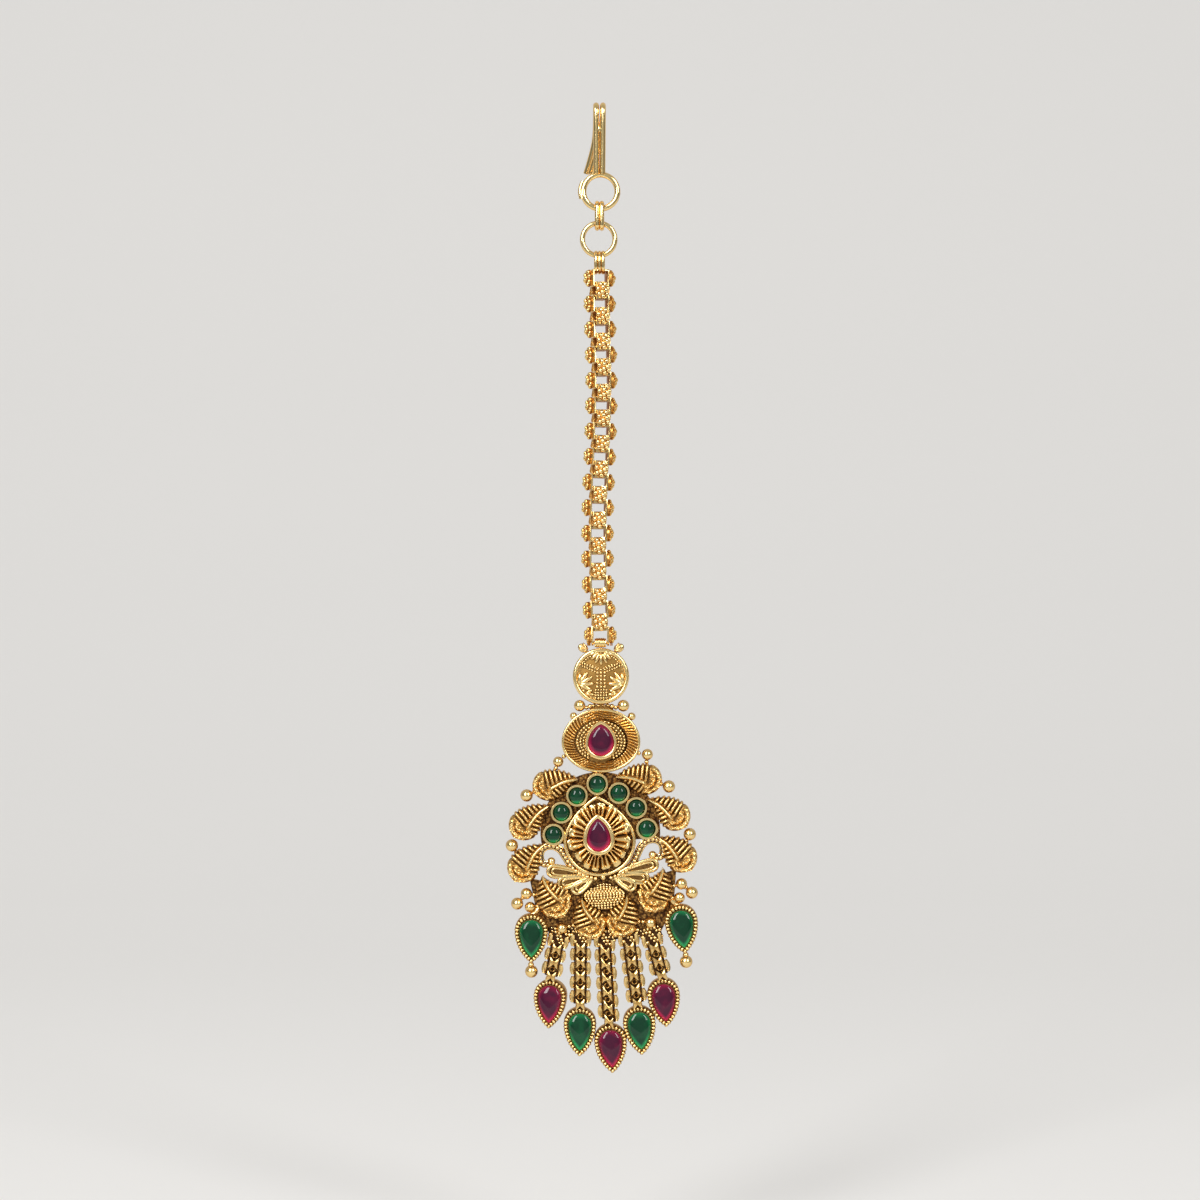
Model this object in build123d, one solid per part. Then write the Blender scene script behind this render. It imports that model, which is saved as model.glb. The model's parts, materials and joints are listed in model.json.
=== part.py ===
from build123d import *
import math
import os

# A maang tikka, the jewel that hangs from a hook in the hair parting on to the forehead.
# Millimetres, +Z up, +X to the viewer's right; the jewel faces -Y. The origin is inside
# the hook's bend, where the hair holds it.
#
# The plaques and stones are drawn flat, in a local frame of their own: x to the right,
# y up and z towards the viewer. place() stands such a flat piece up in the jewel's frame.

CLEAR = 0.10            # the least gap between two pieces that aren't soldered
SEAT_CLEAR = 0.06       # round a stone in its setting

# Hook: two wires side by side, bent over at the top
HOOK_WIRE = 0.82        # wire diameter
HOOK_SPACING = 1.10     # between the two wires' centres
HOOK_BEND = 1.25        # radius of the bend's centre line
HOOK_SPLAY = 4.6        # how far behind the front limb the back limb ends
HOOK_SHIFT = -2.1       # how far to the left it ends
HOOK_LOW = -8.9         # both limbs' lower ends
HOOK_BRIDGE_Z = -2.5    # solder that holds the two wires together

# Rings and links between the hook and the chain
RING_1 = {"x": 0.14, "z": -12.10, "radius": 2.66, "wire": 0.88}
RING_2 = {"x": -0.12, "z": -19.50, "radius": 2.54, "wire": 0.80}
CONNECTOR_WIRE = 0.70
CONNECTOR_SPACING = 0.66
CONNECTOR_DEPTH = 2.60
STRAP_BAND = 1.30
STRAP_THICK = 0.30
STRAP_INNER = 2.42
STRAP_TURN = 6.0

# Main chain: a box chain, each link turned a quarter from the one above it
LINK_COUNT = 29
LINK_PITCH = 1.975
LINK_THICK = 0.30
LINK_WIDTH = 2.74
LINK_BAND = 1.90
LINK_GAP = 0.13
LINK_HEIGHT = LINK_PITCH + 2 * LINK_THICK + LINK_GAP
FIRST_LINK = (0.0, -25.56)
# The chain leans and twists a little on its way down: degrees at some of its links
CHAIN_COURSE = [
    # link, lean, twist
    (0, 0.3, 17.0),
    (6, 1.9, 16.0),
    (10, -1.2, 14.5),
    (15, -2.6, 12.0),
    (20, -0.4, 9.5),
    (24, 1.8, 7.5),
    (28, 3.2, 5.5),
]
# Flower cap on each side of a link: its outline from the link outwards
CAP_PROFILE = [
    # radius, height
    (1.25, 0.0),
    (1.25, 0.40),
    (0.95, 0.85),
    (0.45, 1.15),
]
CAP_HEIGHT = 1.20

# Swivel: the last link's lower bar is a round pin, and the pendant's bail turns on it
PIN_RADIUS = 0.25
BAIL_INNER = 0.35
BAIL_OUTER = 0.82
BAIL_WIDTH = 1.80

# Depths in the flat pieces' own frame: back and front of the sheet behind everything
SHEET_BACK = -1.30
SHEET_FRONT = -0.60
FORWARD = 0.35          # all plaques stand this far forward, so that their weight is below the pin

# Disc plaque
DISC = {"x": 0.23, "z": -87.20, "radius": 4.30, "rim": 0.45}
DISC_EARS = [
    # x, y, radius from the disc's centre
    (-2.45, 3.35, 0.55),
    (2.45, 3.45, 0.60),
]

# Oval plaque: an egg, narrower at the top
OVAL = {"x": 0.23, "z": -97.40, "width": 12.15, "top": 5.20, "bottom": 4.68}
OVAL_RIM = 0.40
OVAL_RIBS = 26
OVAL_BALLS = [
    # x, y from the oval's centre, radius
    (-3.30, 5.62, 0.90),
    (3.46, 5.62, 0.93),
    (-4.25, 4.02, 0.58),
    (4.75, 3.95, 0.62),
]

# Main plaque, in a frame of its own that is turned a little in the jewel
PLAQUE = {"x": 0.19, "z": -112.27, "turn": 3.6}
ROUND_SETTING = 1.68
ROUND_STONE = 1.28
ROUND_STONES = [
    # x, y
    (-7.24, 1.04),
    (-5.81, 4.36),
    (-3.25, 6.82),
    (0.0, 8.40),
    (3.25, 6.82),
    (5.81, 4.36),
    (7.24, 1.04),
]
FRAME_WIDTH = 11.04
FRAME_LENGTH = 12.40
FRAME_WIRE = 0.50
FLOWER_WIDTH = 9.50
FLOWER_LENGTH = 10.40
FLOWER_RIBS = 36
LEAF_WIDTH = 4.60
LEAF_END = 2.55
LEAVES = [
    # tip x, tip y, body x, body y: the right-hand half, the left is its mirror image
    (2.91, 9.27, 7.42, 8.70),
    (7.67, 5.47, 11.44, 2.95),
    (8.87, -0.51, 12.07, -3.49),
    (9.27, -5.19, 7.83, -9.11),
    (3.46, -9.02, 2.57, -12.69),
]
PLAQUE_BALLS = [
    # x, y, radius: the right-hand half
    (11.04, 7.29, 0.85),
    (13.89, -0.29, 0.90),
    (12.03, -7.89, 0.85),
    (13.61, -9.35, 0.90),
    (11.59, -10.01, 0.78),
    (6.88, -13.62, 0.80),
]
CROWN_BALLS = [
    # x, y, radius: above the uppermost leaves
    (8.02, 12.59, 0.80),
    (-5.82, 12.46, 0.65),
]
SCROLL = [
    # x, y of the scroll's corners, and the bend at each
    (1.20, -6.20, 0.0),
    (4.40, -4.90, 3.2),
    (6.10, -0.95, 1.7),
    (9.45, -0.60, 1.25),
    (9.35, -3.70, 1.0),
    (7.70, -3.30, 0.0),
]
SCROLL_WIRE = 0.70
SCROLL_BEADS = 20
LEAF_LOOPS = [
    # root x, root y, end x, end y, width
    (2.20, -5.60, 8.60, -4.45, 1.75),
    (2.00, -5.90, 7.10, -6.75, 1.75),
    (1.50, -6.10, 4.95, -8.05, 1.65),
]
BASKET = {"x": 0.0, "y": -8.82, "width": 6.50, "height": 3.60}
BASKET_SIDES = 16
BASKET_RINGS = [
    # height, share of the outline
    (-1.10, 1.00),
    (0.05, 1.00),
    (0.65, 0.80),
    (1.05, 0.42),
]
SIDE_SETTING = {"x": 11.69, "y": -14.79, "turn": 3.4}
SIDE_BALL = {"x": 12.0, "y": -19.96, "radius": 1.0}

# Pear settings and their stones: outer width and length, stone width and length
UPPER_PEAR = (4.75, 5.86, 3.86, 4.80)
CENTRE_PEAR = (4.84, 6.30, 3.50, 5.00)
SIDE_PEAR = (5.10, 7.60, 3.64, 5.80)
DROP_PEAR = (5.00, 7.60, 3.60, 5.80)
PEAR_SIDES = 8          # facets along half of a stone's outline

# Fringe: plain box chains, each from a lug on the plaque to a lug on its drop
FRINGE_PITCH = 1.085
FRINGE_THICK = 0.30
FRINGE_WALL = 0.70
FRINGE_WIDTH = 3.20
FRINGE_BAND = 1.56
FRINGE_HEIGHT = FRINGE_PITCH + 2 * FRINGE_THICK + CLEAR + 0.02
FRINGE = [
    # lug x, lug z, links, lean, turn of the links, drop's lean, drop's turn
    (-6.43, -128.30, 4, -11.5, 0.0, -1.8, -8.0),
    (-2.91, -128.15, 8, -0.5, 0.0, -0.5, 0.0),
    (0.78, -128.60, 10, 3.3, 38.0, 4.3, 0.0),
    (4.54, -128.05, 8, 7.8, 0.0, 5.3, 0.0),
    (8.20, -128.15, 4, 15.0, 0.0, 5.6, 0.0),
]
DROP_HANG = 0.56        # from a drop's lug down to the top of its setting


# --- Flat drawing ------------------------------------------------------------------

def place(x, z, turn=0.0):
    """The location that stands a flat piece up, facing the viewer, at x, z."""
    return Plane.XZ.location * Pos(x, z, FORWARD) * Rot(0, 0, turn)


def slab(face, back, front):
    return extrude(Pos(0, 0, back) * face, amount=front - back)


def disc(x, y, radius, back, front):
    return Pos(x, y, (back + front) / 2) * Cylinder(radius, front - back)


def pear_shape(width, length):
    """Numbers of a pear with its point up: round end's radius, reach to the point, the
    side arcs' radius, and how far the pear's middle is above the round end's centre."""
    radius = width / 2
    reach = length - radius
    side = (reach * reach + radius * radius) / (2 * radius)
    return radius, reach, side, (reach - radius) / 2


def pear_face(width, length):
    """A pear outline of three arcs, its point up, centred on its own middle."""
    radius, reach, side, middle = pear_shape(width, length)
    half = math.asin(reach / side) / 2
    bulge = (side * math.cos(half) - (side - radius), side * math.sin(half) - middle)
    left, right, tip = (-radius, -middle), (radius, -middle), (0, reach - middle)
    return make_face([
        ThreePointArc(right, bulge, tip),
        ThreePointArc(tip, (-bulge[0], bulge[1]), left),
        ThreePointArc(left, (0, -middle - radius), right),
    ])


def pear_points(width, length, scale):
    """Points on the same outline, for a faceted stone, shrunk towards its middle."""
    radius, reach, side, middle = pear_shape(width, length)
    whole = math.asin(reach / side)
    side_steps = PEAR_SIDES // 2
    right = []
    for i in range(side_steps):
        angle = whole * (1 - i / side_steps)
        right.append((side * math.cos(angle) - (side - radius), side * math.sin(angle)))
    for i in range(side_steps + 1):
        angle = -math.pi / 2 * i / side_steps
        right.append((radius * math.cos(angle), radius * math.sin(angle)))
    left = [(-x, y) for x, y in reversed(right[1:-1])]
    return [(x * scale, (y - middle) * scale) for x, y in right + left]


def egg_face(width, top, bottom, inset=0.0):
    """Half an ellipse above and a flatter half below."""
    radius = width / 2 - inset
    cover = 2 * width
    upper = Ellipse(radius, top - inset) & Pos(0, cover / 2) * Rectangle(cover, cover)
    lower = Ellipse(radius, bottom - inset) & Pos(0, -cover / 2) * Rectangle(cover, cover)
    return upper + lower


def ridge(start, end, width, back, top, crest=0.4):
    """A raised bar with sloping sides, from one point of the flat to another."""
    dx, dy = end[0] - start[0], end[1] - start[1]
    length = math.hypot(dx, dy)
    foot = Rectangle(length, width)
    head = Rectangle(length * 0.86, width * crest)
    bar = loft([Pos(0, 0, back) * foot, Pos(0, 0, top) * head], ruled=True)
    middle = Pos((start[0] + end[0]) / 2, (start[1] + end[1]) / 2, 0)
    return middle * Rot(0, 0, math.degrees(math.atan2(dy, dx))) * bar


def ball(x, y, radius, height=0.0):
    return Pos(x, y, height) * Sphere(radius)


def tab(x, y, towards, reach, width=0.9):
    """A strip of the back sheet from x, y towards another point."""
    dx, dy = towards[0] - x, towards[1] - y
    length = math.hypot(dx, dy)
    end = (x + dx / length * reach, y + dy / length * reach)
    return ridge((x, y), end, width, SHEET_BACK, SHEET_FRONT + 0.15, crest=0.9)


def eyelet(y):
    """A loop that stands out behind a plaque, for a joining ring."""
    return Pos(0, y, SHEET_BACK) * Rot(0, 90, 0) * Torus(0.95, 0.30)


# --- Stones and settings -----------------------------------------------------------

def cut_pear(width, length, girdle):
    """A pear-cut stone, point up: pavilion, girdle, crown facets and a flat table."""
    sections = [
        # height from the girdle, share of the outline
        (-1.05, 0.34),
        (-0.10, 1.00),
        (0.10, 1.00),
        (0.62, 0.62),
    ]
    faces = []
    for height, share in sections:
        outline = Polygon(*pear_points(width, length, share), align=None)
        faces.append(Pos(0, 0, girdle + height) * outline)
    return loft(faces, ruled=True)


def pear_setting(sizes, back, lip):
    """A closed-back pear cup: a flange for the beading and a thinner lip above it."""
    outer_w, outer_l, stone_w, stone_l = sizes
    seat = 2 * SEAT_CLEAR
    lip_w = (outer_w + stone_w) / 2
    lip_l = (outer_l + stone_l) / 2
    flange = slab(pear_face(outer_w, outer_l), back, lip - 0.35)
    wall = slab(pear_face(lip_w, lip_l), back, lip)
    hollow = slab(pear_face(stone_w + seat, stone_l + 1.4 * seat), lip - 1.55, lip + 1)
    return flange + wall - hollow


def pear_girdle(lip):
    """A stone's girdle sits this high in a setting with its lip at that height."""
    return lip - 0.30


def cabochon(radius, base):
    """A round domed stone with a flat base."""
    height, wall = 0.85, 0.45
    dome = (height * height + radius * radius) / (2 * height)
    half = math.asin(radius / dome) / 2
    shoulder = (dome * math.sin(half), wall + height - dome * (1 - math.cos(half)))
    outline = [
        Line((0, 0), (radius, 0)),
        Line((radius, 0), (radius, wall)),
        ThreePointArc((radius, wall), shoulder, (0, wall + height)),
        Line((0, wall + height), (0, 0)),
    ]
    profile = Plane.XZ * make_face(outline)
    return Pos(0, 0, base) * revolve(profile, axis=Axis.Z)


# --- Hook, rings and links ---------------------------------------------------------

def hook_wire(x):
    """One of the hook's two wires: up the front, over the bend and down behind."""
    top = HOOK_BEND
    path = FilletPolyline(
        (x * 0.86, -0.30, HOOK_LOW - 0.5),
        (x, -HOOK_BEND, top),
        (x, HOOK_BEND, top),
        (x * 0.9 + HOOK_SHIFT, HOOK_SPLAY - HOOK_BEND, HOOK_LOW),
        radius=HOOK_BEND * 0.97,
    )
    section = Plane(origin=path @ 0, z_dir=path % 0) * Circle(HOOK_WIRE / 2)
    return sweep(section, path=path)


def standing_ring(ring):
    return Pos(ring["x"], 0, ring["z"]) * Rot(90, 0, 0) * Torus(ring["radius"], ring["wire"] / 2)


def make_hook():
    """The double wire, the solder between its limbs, and the ring that it ends in."""
    half = HOOK_SPACING / 2
    bridge = Pos(0, -1.02, HOOK_BRIDGE_Z) * Box(HOOK_SPACING, 0.5, 0.9)
    tail_x = HOOK_SHIFT * 0.93
    tail = Pos(tail_x, HOOK_SPLAY - HOOK_BEND - 0.15, HOOK_LOW + 0.6) * Box(HOOK_SPACING, 0.5, 0.9)
    # The ring's cut end lies against its outer edge, on the left
    stub_ring = Torus(RING_1["radius"] + 0.45, 0.36, major_angle=58, align=None)
    stub = Pos(RING_1["x"], 0, RING_1["z"]) * Rot(90, 0, 0) * Rot(0, 0, 146) * stub_ring
    return hook_wire(-half) + [hook_wire(half), standing_ring(RING_1), bridge, tail, stub]


def oblong(height, depth, wire):
    """A wire loop on edge to the viewer: two limbs joined by half rings."""
    across = depth - wire
    straight = height - depth
    ends = Rot(0, 90, 0) * Torus(across / 2, wire / 2)
    limb = Cylinder(wire / 2, straight)
    loop = Pos(0, 0, straight / 2) * ends + Pos(0, 0, -straight / 2) * ends
    core = Box(2 * wire, across - wire * 0.02, straight)
    return loop - core + [Pos(0, across / 2, 0) * limb, Pos(0, -across / 2, 0) * limb]


def make_connector():
    """Two loops soldered side by side, through both rings."""
    top = RING_1["z"] - RING_1["radius"] + RING_1["wire"] / 2 + CLEAR + CONNECTOR_WIRE
    bottom = RING_2["z"] + RING_2["radius"] - RING_2["wire"] / 2 - CLEAR - CONNECTOR_WIRE
    loop = oblong(top - bottom, CONNECTOR_DEPTH, CONNECTOR_WIRE)
    half = CONNECTOR_SPACING / 2
    return Pos(0, 0, (top + bottom) / 2) * (Pos(-half, 0, 0) * loop + Pos(half, 0, 0) * loop)


def box_link(width, height, band, wall, thick):
    """A flat band bent into a box: walls left and right, bars above and below."""
    hole = Box(width - 2 * wall, 2 * band, height - 2 * thick)
    return Box(width, band, height) - hole


def make_strap():
    """The narrow band loop between the lower ring and the chain, grooved on both faces."""
    top = RING_2["z"] - RING_2["radius"] + RING_2["wire"] / 2 + CLEAR + STRAP_THICK
    bottom = FIRST_LINK[1] + LINK_HEIGHT / 2 - 2 * LINK_THICK - LINK_GAP
    width = STRAP_INNER + 2 * STRAP_THICK
    loop = box_link(width, top - bottom, STRAP_BAND, STRAP_THICK, STRAP_THICK)
    groove = Pos(width / 2, 0, 0) * Box(0.24, 0.30, top - bottom - 1.0)
    loop = loop - [groove, Rot(0, 0, 180) * groove]
    return Pos(0, 0, (top + bottom) / 2) * Rot(0, 0, 90 + STRAP_TURN) * loop


def flower_cap():
    """The cap on a link's side, standing on the plane x = 0 and pointing along +X."""
    points = [(0, 0)] + CAP_PROFILE + [(0, CAP_HEIGHT)]
    profile = Plane.XZ * make_face(Polyline(*points, close=True))
    return Rot(0, 90, 0) * revolve(profile, axis=Axis.Z)


def with_caps(link):
    """Add a cap to both of a link's walls, let into them a little."""
    cap = Pos(LINK_WIDTH / 2 - 0.05, 0, 0) * flower_cap()
    return link + [cap, Rot(0, 0, 180) * cap]


def capped_link():
    return with_caps(box_link(LINK_WIDTH, LINK_HEIGHT, LINK_BAND, LINK_THICK, LINK_THICK))


def course(link):
    """Lean and twist of a link, read between the rows of CHAIN_COURSE."""
    for (i0, lean0, twist0), (i1, lean1, twist1) in zip(CHAIN_COURSE, CHAIN_COURSE[1:]):
        if link <= i1:
            share = (link - i0) / (i1 - i0)
            return lean0 + share * (lean1 - lean0), twist0 + share * (twist1 - twist0)
    return CHAIN_COURSE[-1][1:]


def chain_places():
    """Where each link of the main chain is: centre x and z, lean and twist."""
    x, z = FIRST_LINK
    places = []
    for link in range(LINK_COUNT):
        lean, twist = course(link)
        if link:
            middle = math.radians((lean + places[-1][2]) / 2)
            x += LINK_PITCH * math.sin(middle)
            z -= LINK_PITCH * math.cos(middle)
        places.append((x, z, lean, twist))
    return places


def link_location(x, z, lean, twist):
    return Pos(x, 0, z) * Rot(0, -lean, 0) * Rot(0, 0, twist)


def make_main_chain(places):
    """Every link but the last; each second one is turned a quarter."""
    link = capped_link()
    links = []
    for i, (x, z, lean, twist) in enumerate(places[:-1]):
        links.append(link_location(x, z, lean, twist + 90 * (i % 2)) * link)
    return Compound(links)


def swivel_centre(places):
    """The pin's height, at the foot of the last link, and its x."""
    x, z, _, _ = places[-1]
    return x, z - (LINK_HEIGHT / 2 - LINK_THICK / 2)


def make_swivel_link(places):
    """The last link: as the others above, with a round pin for its lower bar."""
    x, z, _, twist = places[-1]
    drop = LINK_HEIGHT / 2 - LINK_THICK / 2
    lower = 0.42
    body = Pos(0, 0, -lower / 2) * Box(LINK_WIDTH, LINK_BAND, LINK_HEIGHT + lower)
    inner = LINK_WIDTH - 2 * LINK_THICK
    room = LINK_HEIGHT + lower
    body -= Pos(0, 0, -LINK_THICK - lower / 2) * Box(inner, 2 * LINK_BAND, room)
    # Round the walls' feet about the pin, clear of the plaque as it swings
    foot = Rot(0, 90, 0) * Cylinder(0.48, LINK_WIDTH)
    below = Pos(0, 0, -drop - 5) * Box(2 * LINK_WIDTH, 2 * LINK_BAND, 10)
    body = body - below
    body = body + [
        (Pos(0, 0, -drop) * foot) - Pos(0, 0, -drop) * Box(inner, 3, 3),
        Pos(0, 0, -drop) * Rot(0, 90, 0) * Cylinder(PIN_RADIUS, LINK_WIDTH - LINK_THICK),
    ]
    return Pos(x, 0, z) * with_caps(body)


# --- Plaques -----------------------------------------------------------------------

def make_disc_plaque(pin):
    """Round plaque: bail, ears, sheet, rim wire, and the raised leaf work."""
    radius, rim = DISC["radius"], DISC["rim"]
    face = -0.10
    parts = [
        disc(0, 0, radius - 0.05, SHEET_BACK + 0.3, face),
        Pos(0, 0, face) * Torus(radius - rim / 2, rim / 2 + 0.05),
        eyelet(-radius + 0.95),
    ]
    # Seven petals fan down from the top, in the upper third
    for angle in range(-72, 73, 24):
        direction = math.radians(angle - 90)
        root, reach = (0, radius - 0.9), 1.9
        end = (root[0] + reach * math.cos(direction), root[1] + reach * math.sin(direction))
        parts.append(ridge(root, end, 0.62, face - 0.1, face + 0.42))
    # Two double lines cross in the middle, over a beaded column
    for side in (-1, 1):
        for offset in (-0.22, 0.22):
            parts.append(ridge((-3.3 * side, 1.75 + offset), (1.5 * side, -0.55 + offset),
                               0.3, face - 0.1, face + 0.34))
        # Leaf veins to each side, and small curls below
        for angle in (-38, -12, 14, 40):
            direction = math.radians(angle)
            start = (1.15 * side, -0.9)
            end = ((1.15 + 2.1 * math.cos(direction)) * side, -0.9 + 1.5 * math.sin(direction))
            parts.append(ridge(start, end, 0.4, face - 0.1, face + 0.38))
        parts.append(ridge((0.5 * side, -2.5), (2.0 * side, -2.75), 0.5, face - 0.1, face + 0.36))
    for i in range(6):
        parts.append(ball(0, 0.1 - 0.58 * i, 0.3, face + 0.05))
    for x, y, size in DISC_EARS:
        parts.append(disc(x, y, size, -0.55, -0.05))
    solid = place(DISC["x"], DISC["z"]) * (parts[0] + parts[1:])
    pin_x, pin_z = pin
    tube = Rot(0, 90, 0) * Cylinder(BAIL_OUTER, BAIL_WIDTH)
    bore = Rot(0, 90, 0) * Cylinder(BAIL_INNER, 2 * BAIL_WIDTH)
    here = Pos(pin_x, 0, pin_z)
    return solid + here * tube - here * bore


def make_oval_plaque():
    """Egg-shaped dish: rim, radial ribs, raised inner egg, setting and balls."""
    width, top, bottom = OVAL["width"], OVAL["top"], OVAL["bottom"]
    brim, floor = 0.45, -0.45
    body = slab(egg_face(width, top, bottom), SHEET_BACK + 0.2, brim)
    body -= slab(egg_face(width, top, bottom, OVAL_RIM), floor, brim + 1)
    parts = [slab(egg_face(8.2, 3.25, 2.95), floor - 0.2, floor + 0.55)]
    for i in range(OVAL_RIBS):
        angle = 2 * math.pi * (i + 0.5) / OVAL_RIBS
        reach = top if math.sin(angle) > 0 else bottom
        inner = (3.7 * math.cos(angle), 2.8 * math.sin(angle))
        outer = ((width / 2 - 0.3) * math.cos(angle), (reach - 0.3) * math.sin(angle))
        parts.append(ridge(inner, outer, 0.55, floor - 0.1, floor + 0.5))
    parts.append(Pos(0, 0.35, 0) * pear_setting(UPPER_PEAR, floor - 0.3, UPPER_LIP))
    for x, y, size in OVAL_BALLS:
        parts.append(ball(x, y, size, -0.35))
        parts.append(tab(x, y, (0, 0), 1.9))
    parts += [eyelet(top - 1.1), eyelet(-bottom + 1.35)]
    solid = body + parts
    hollow_w, hollow_l = UPPER_PEAR[2] + 2 * SEAT_CLEAR, UPPER_PEAR[3] + 2.8 * SEAT_CLEAR
    solid -= Pos(0, 0.35, 0) * slab(pear_face(hollow_w, hollow_l), UPPER_LIP - 1.55, 5)
    return place(OVAL["x"], OVAL["z"]) * solid


def leaf(tip_x, tip_y, body_x, body_y):
    """A paisley leaf: round body, horn-like tip, midrib and a comb of veins."""
    reach = math.hypot(tip_x - body_x, tip_y - body_y)
    angle = math.degrees(math.atan2(tip_y - body_y, tip_x - body_x))
    half = LEAF_WIDTH / 2

    def outline(share):
        """The leaf's edge: full side to the right of the tip, hollow side to the left."""
        tip, full, hollow = (reach * share, 0), (0, -half * share), (0, half * share)
        return make_face([
            ThreePointArc(tip, (reach * 0.56 * share, -half * 0.80 * share), full),
            ThreePointArc(full, (-LEAF_END * share, 0), hollow),
            ThreePointArc(hollow, (reach * 0.52 * share, half * 0.42 * share), tip),
        ])

    edge = slab(outline(1.0), SHEET_BACK + 0.15, LEAF_BASE)
    crown = loft([Pos(0, 0, LEAF_BASE - 0.05) * outline(0.97),
                  Pos(0, 0, LEAF_BASE + 0.55) * outline(0.62)], ruled=True)
    parts = [crown]
    # The midrib bends towards the full side at the body, and the veins leave it aslant
    spine = [(reach * 0.93, 0.0), (reach * 0.55, -0.18), (reach * 0.15, -0.05), (-0.9, 0.5)]
    for start, end in zip(spine, spine[1:]):
        parts.append(ridge(start, end, 0.55, LEAF_BASE, LEAF_BASE + 0.95))
    for i in range(5):
        along = reach * (0.72 - 0.17 * i)
        spread = 0.9 + 0.28 * i
        for side in (-1, 1):
            start = (along + 0.1, 0.12 * side)
            end = (along - 0.45, spread * side * (0.98 if side < 0 else 0.85))
            parts.append(ridge(start, end, 0.34, LEAF_BASE - 0.1, LEAF_BASE + 0.72))
    # Two curved folds close round the body's end
    for radius in (1.15, 1.75):
        arcs = [math.radians(a) for a in (130, 165, 200, 235)]
        dots = [(-0.15 + radius * math.cos(a), radius * math.sin(a)) for a in arcs]
        for start, end in zip(dots, dots[1:]):
            parts.append(ridge(start, end, 0.36, LEAF_BASE - 0.1, LEAF_BASE + 0.66))
    return Pos(body_x, body_y, 0) * Rot(0, 0, angle) * (edge + parts)


def make_flower():
    """The teardrop wire frame and the ruffled flower in it, with the centre setting."""
    base = -0.35
    parts = [slab(pear_face(FRAME_WIDTH - 0.3, FRAME_LENGTH - 0.5), SHEET_FRONT - 0.2, base)]
    frame = slab(pear_face(FRAME_WIDTH, FRAME_LENGTH), SHEET_FRONT - 0.2, 0.55)
    frame -= slab(pear_face(FRAME_WIDTH - 2 * FRAME_WIRE, FRAME_LENGTH - 2.6 * FRAME_WIRE), base, 1)
    parts.append(frame)
    parts.append(slab(pear_face(FLOWER_WIDTH, FLOWER_LENGTH), base - 0.1, base + 0.40))
    for i in range(FLOWER_RIBS):
        angle = 2 * math.pi * i / FLOWER_RIBS
        lift = 0.62 if i % 3 else 0.82
        reach = FLOWER_LENGTH / 2 if math.sin(angle) > 0 else FLOWER_LENGTH / 2 - 0.25
        inner = (2.0 * math.cos(angle), 2.6 * math.sin(angle) - 0.1)
        outer = ((FLOWER_WIDTH / 2 - 0.15) * math.cos(angle), (reach - 0.35) * math.sin(angle) - 0.35)
        parts.append(ridge(inner, outer, 0.38, base, base + 0.2 + lift))
    parts.append(Pos(-0.2, 0.25, 0) * pear_setting(CENTRE_PEAR, base - 0.2, CENTRE_LIP))
    return Pos(0, 0.37, 0) * (parts[0] + parts[1:])


def scroll():
    """A beaded wire that leaves the frame's foot, rises outside it and curls over."""
    bends = [bend for _, _, bend in SCROLL[1:-1]]
    path = FilletPolyline(*[(x, y) for x, y, _ in SCROLL], radius=bends)
    parts = []
    for i in range(SCROLL_BEADS):
        start, end = path @ (i / SCROLL_BEADS), path @ ((i + 1) / SCROLL_BEADS)
        lap = (end - start) * 0.12
        start, end = start - lap, end + lap
        parts.append(ridge((start.X, start.Y), (end.X, end.Y), SCROLL_WIRE, -0.60, 0.20, crest=0.5))
    x, y, _ = SCROLL[-1]
    return parts + [ball(x, y, 0.48, -0.1)]


def leaf_loop(root_x, root_y, end_x, end_y, width):
    """A long loop of doubled wire, its round end outwards."""
    length = math.hypot(end_x - root_x, end_y - root_y)
    angle = math.degrees(math.atan2(end_y - root_y, end_x - root_x))
    ring = slab(pear_face(width, length), SHEET_BACK + 0.45, 0.25)
    ring -= slab(pear_face(width - 0.85, length - 1.5), -0.3, 1)
    middle = Pos((root_x + end_x) / 2, (root_y + end_y) / 2, 0)
    return middle * Rot(0, 0, angle + 90) * ring


def make_half():
    """The sheet, and all that the plaque has on its right-hand half."""
    parts = [leaf(*row) for row in LEAVES]
    for x, y, size in PLAQUE_BALLS:
        parts.append(ball(x, y, size, -0.2))
        parts.append(tab(x, y, (0, -1.0), 3.2))
    parts += scroll()
    parts += [leaf_loop(*row) for row in LEAF_LOOPS]
    x, y, turn = SIDE_SETTING["x"], SIDE_SETTING["y"], SIDE_SETTING["turn"]
    parts.append(Pos(x, y, 0) * Rot(0, 0, 180 + turn) * pear_setting(SIDE_PEAR, SHEET_BACK, SIDE_LIP))
    parts.append(ball(SIDE_BALL["x"], SIDE_BALL["y"], SIDE_BALL["radius"], -0.2))
    parts.append(disc(SIDE_BALL["x"], SIDE_BALL["y"] + 0.95, 0.5, -0.5, 0.1))
    parts.append(tab(x, y + 3.0, (7.8, -9.1), 4.0, 1.6))
    return back_sheet() + parts


def back_sheet():
    """The sheet that all is soldered to: an arch above, a flared skirt below."""
    arch = Pos(0, 0.9) * Circle(9.3)
    arch -= Pos(0, -10.6) * Rectangle(30, 20)
    heart = Pos(0, 0.37) * pear_face(FRAME_WIDTH - 0.2, FRAME_LENGTH - 0.3)
    skirt = Polygon((-2.2, -5.0), (-5.5, -7.2), (-11.4, -5.6), (-10.6, -11.4), (-8.3, -15.3),
                    (0, -16.0), (8.3, -15.3), (10.6, -11.4), (11.4, -5.6), (5.5, -7.2),
                    (2.2, -5.0), align=None)
    return slab(arch + heart + skirt, SHEET_BACK, SHEET_FRONT)


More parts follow.
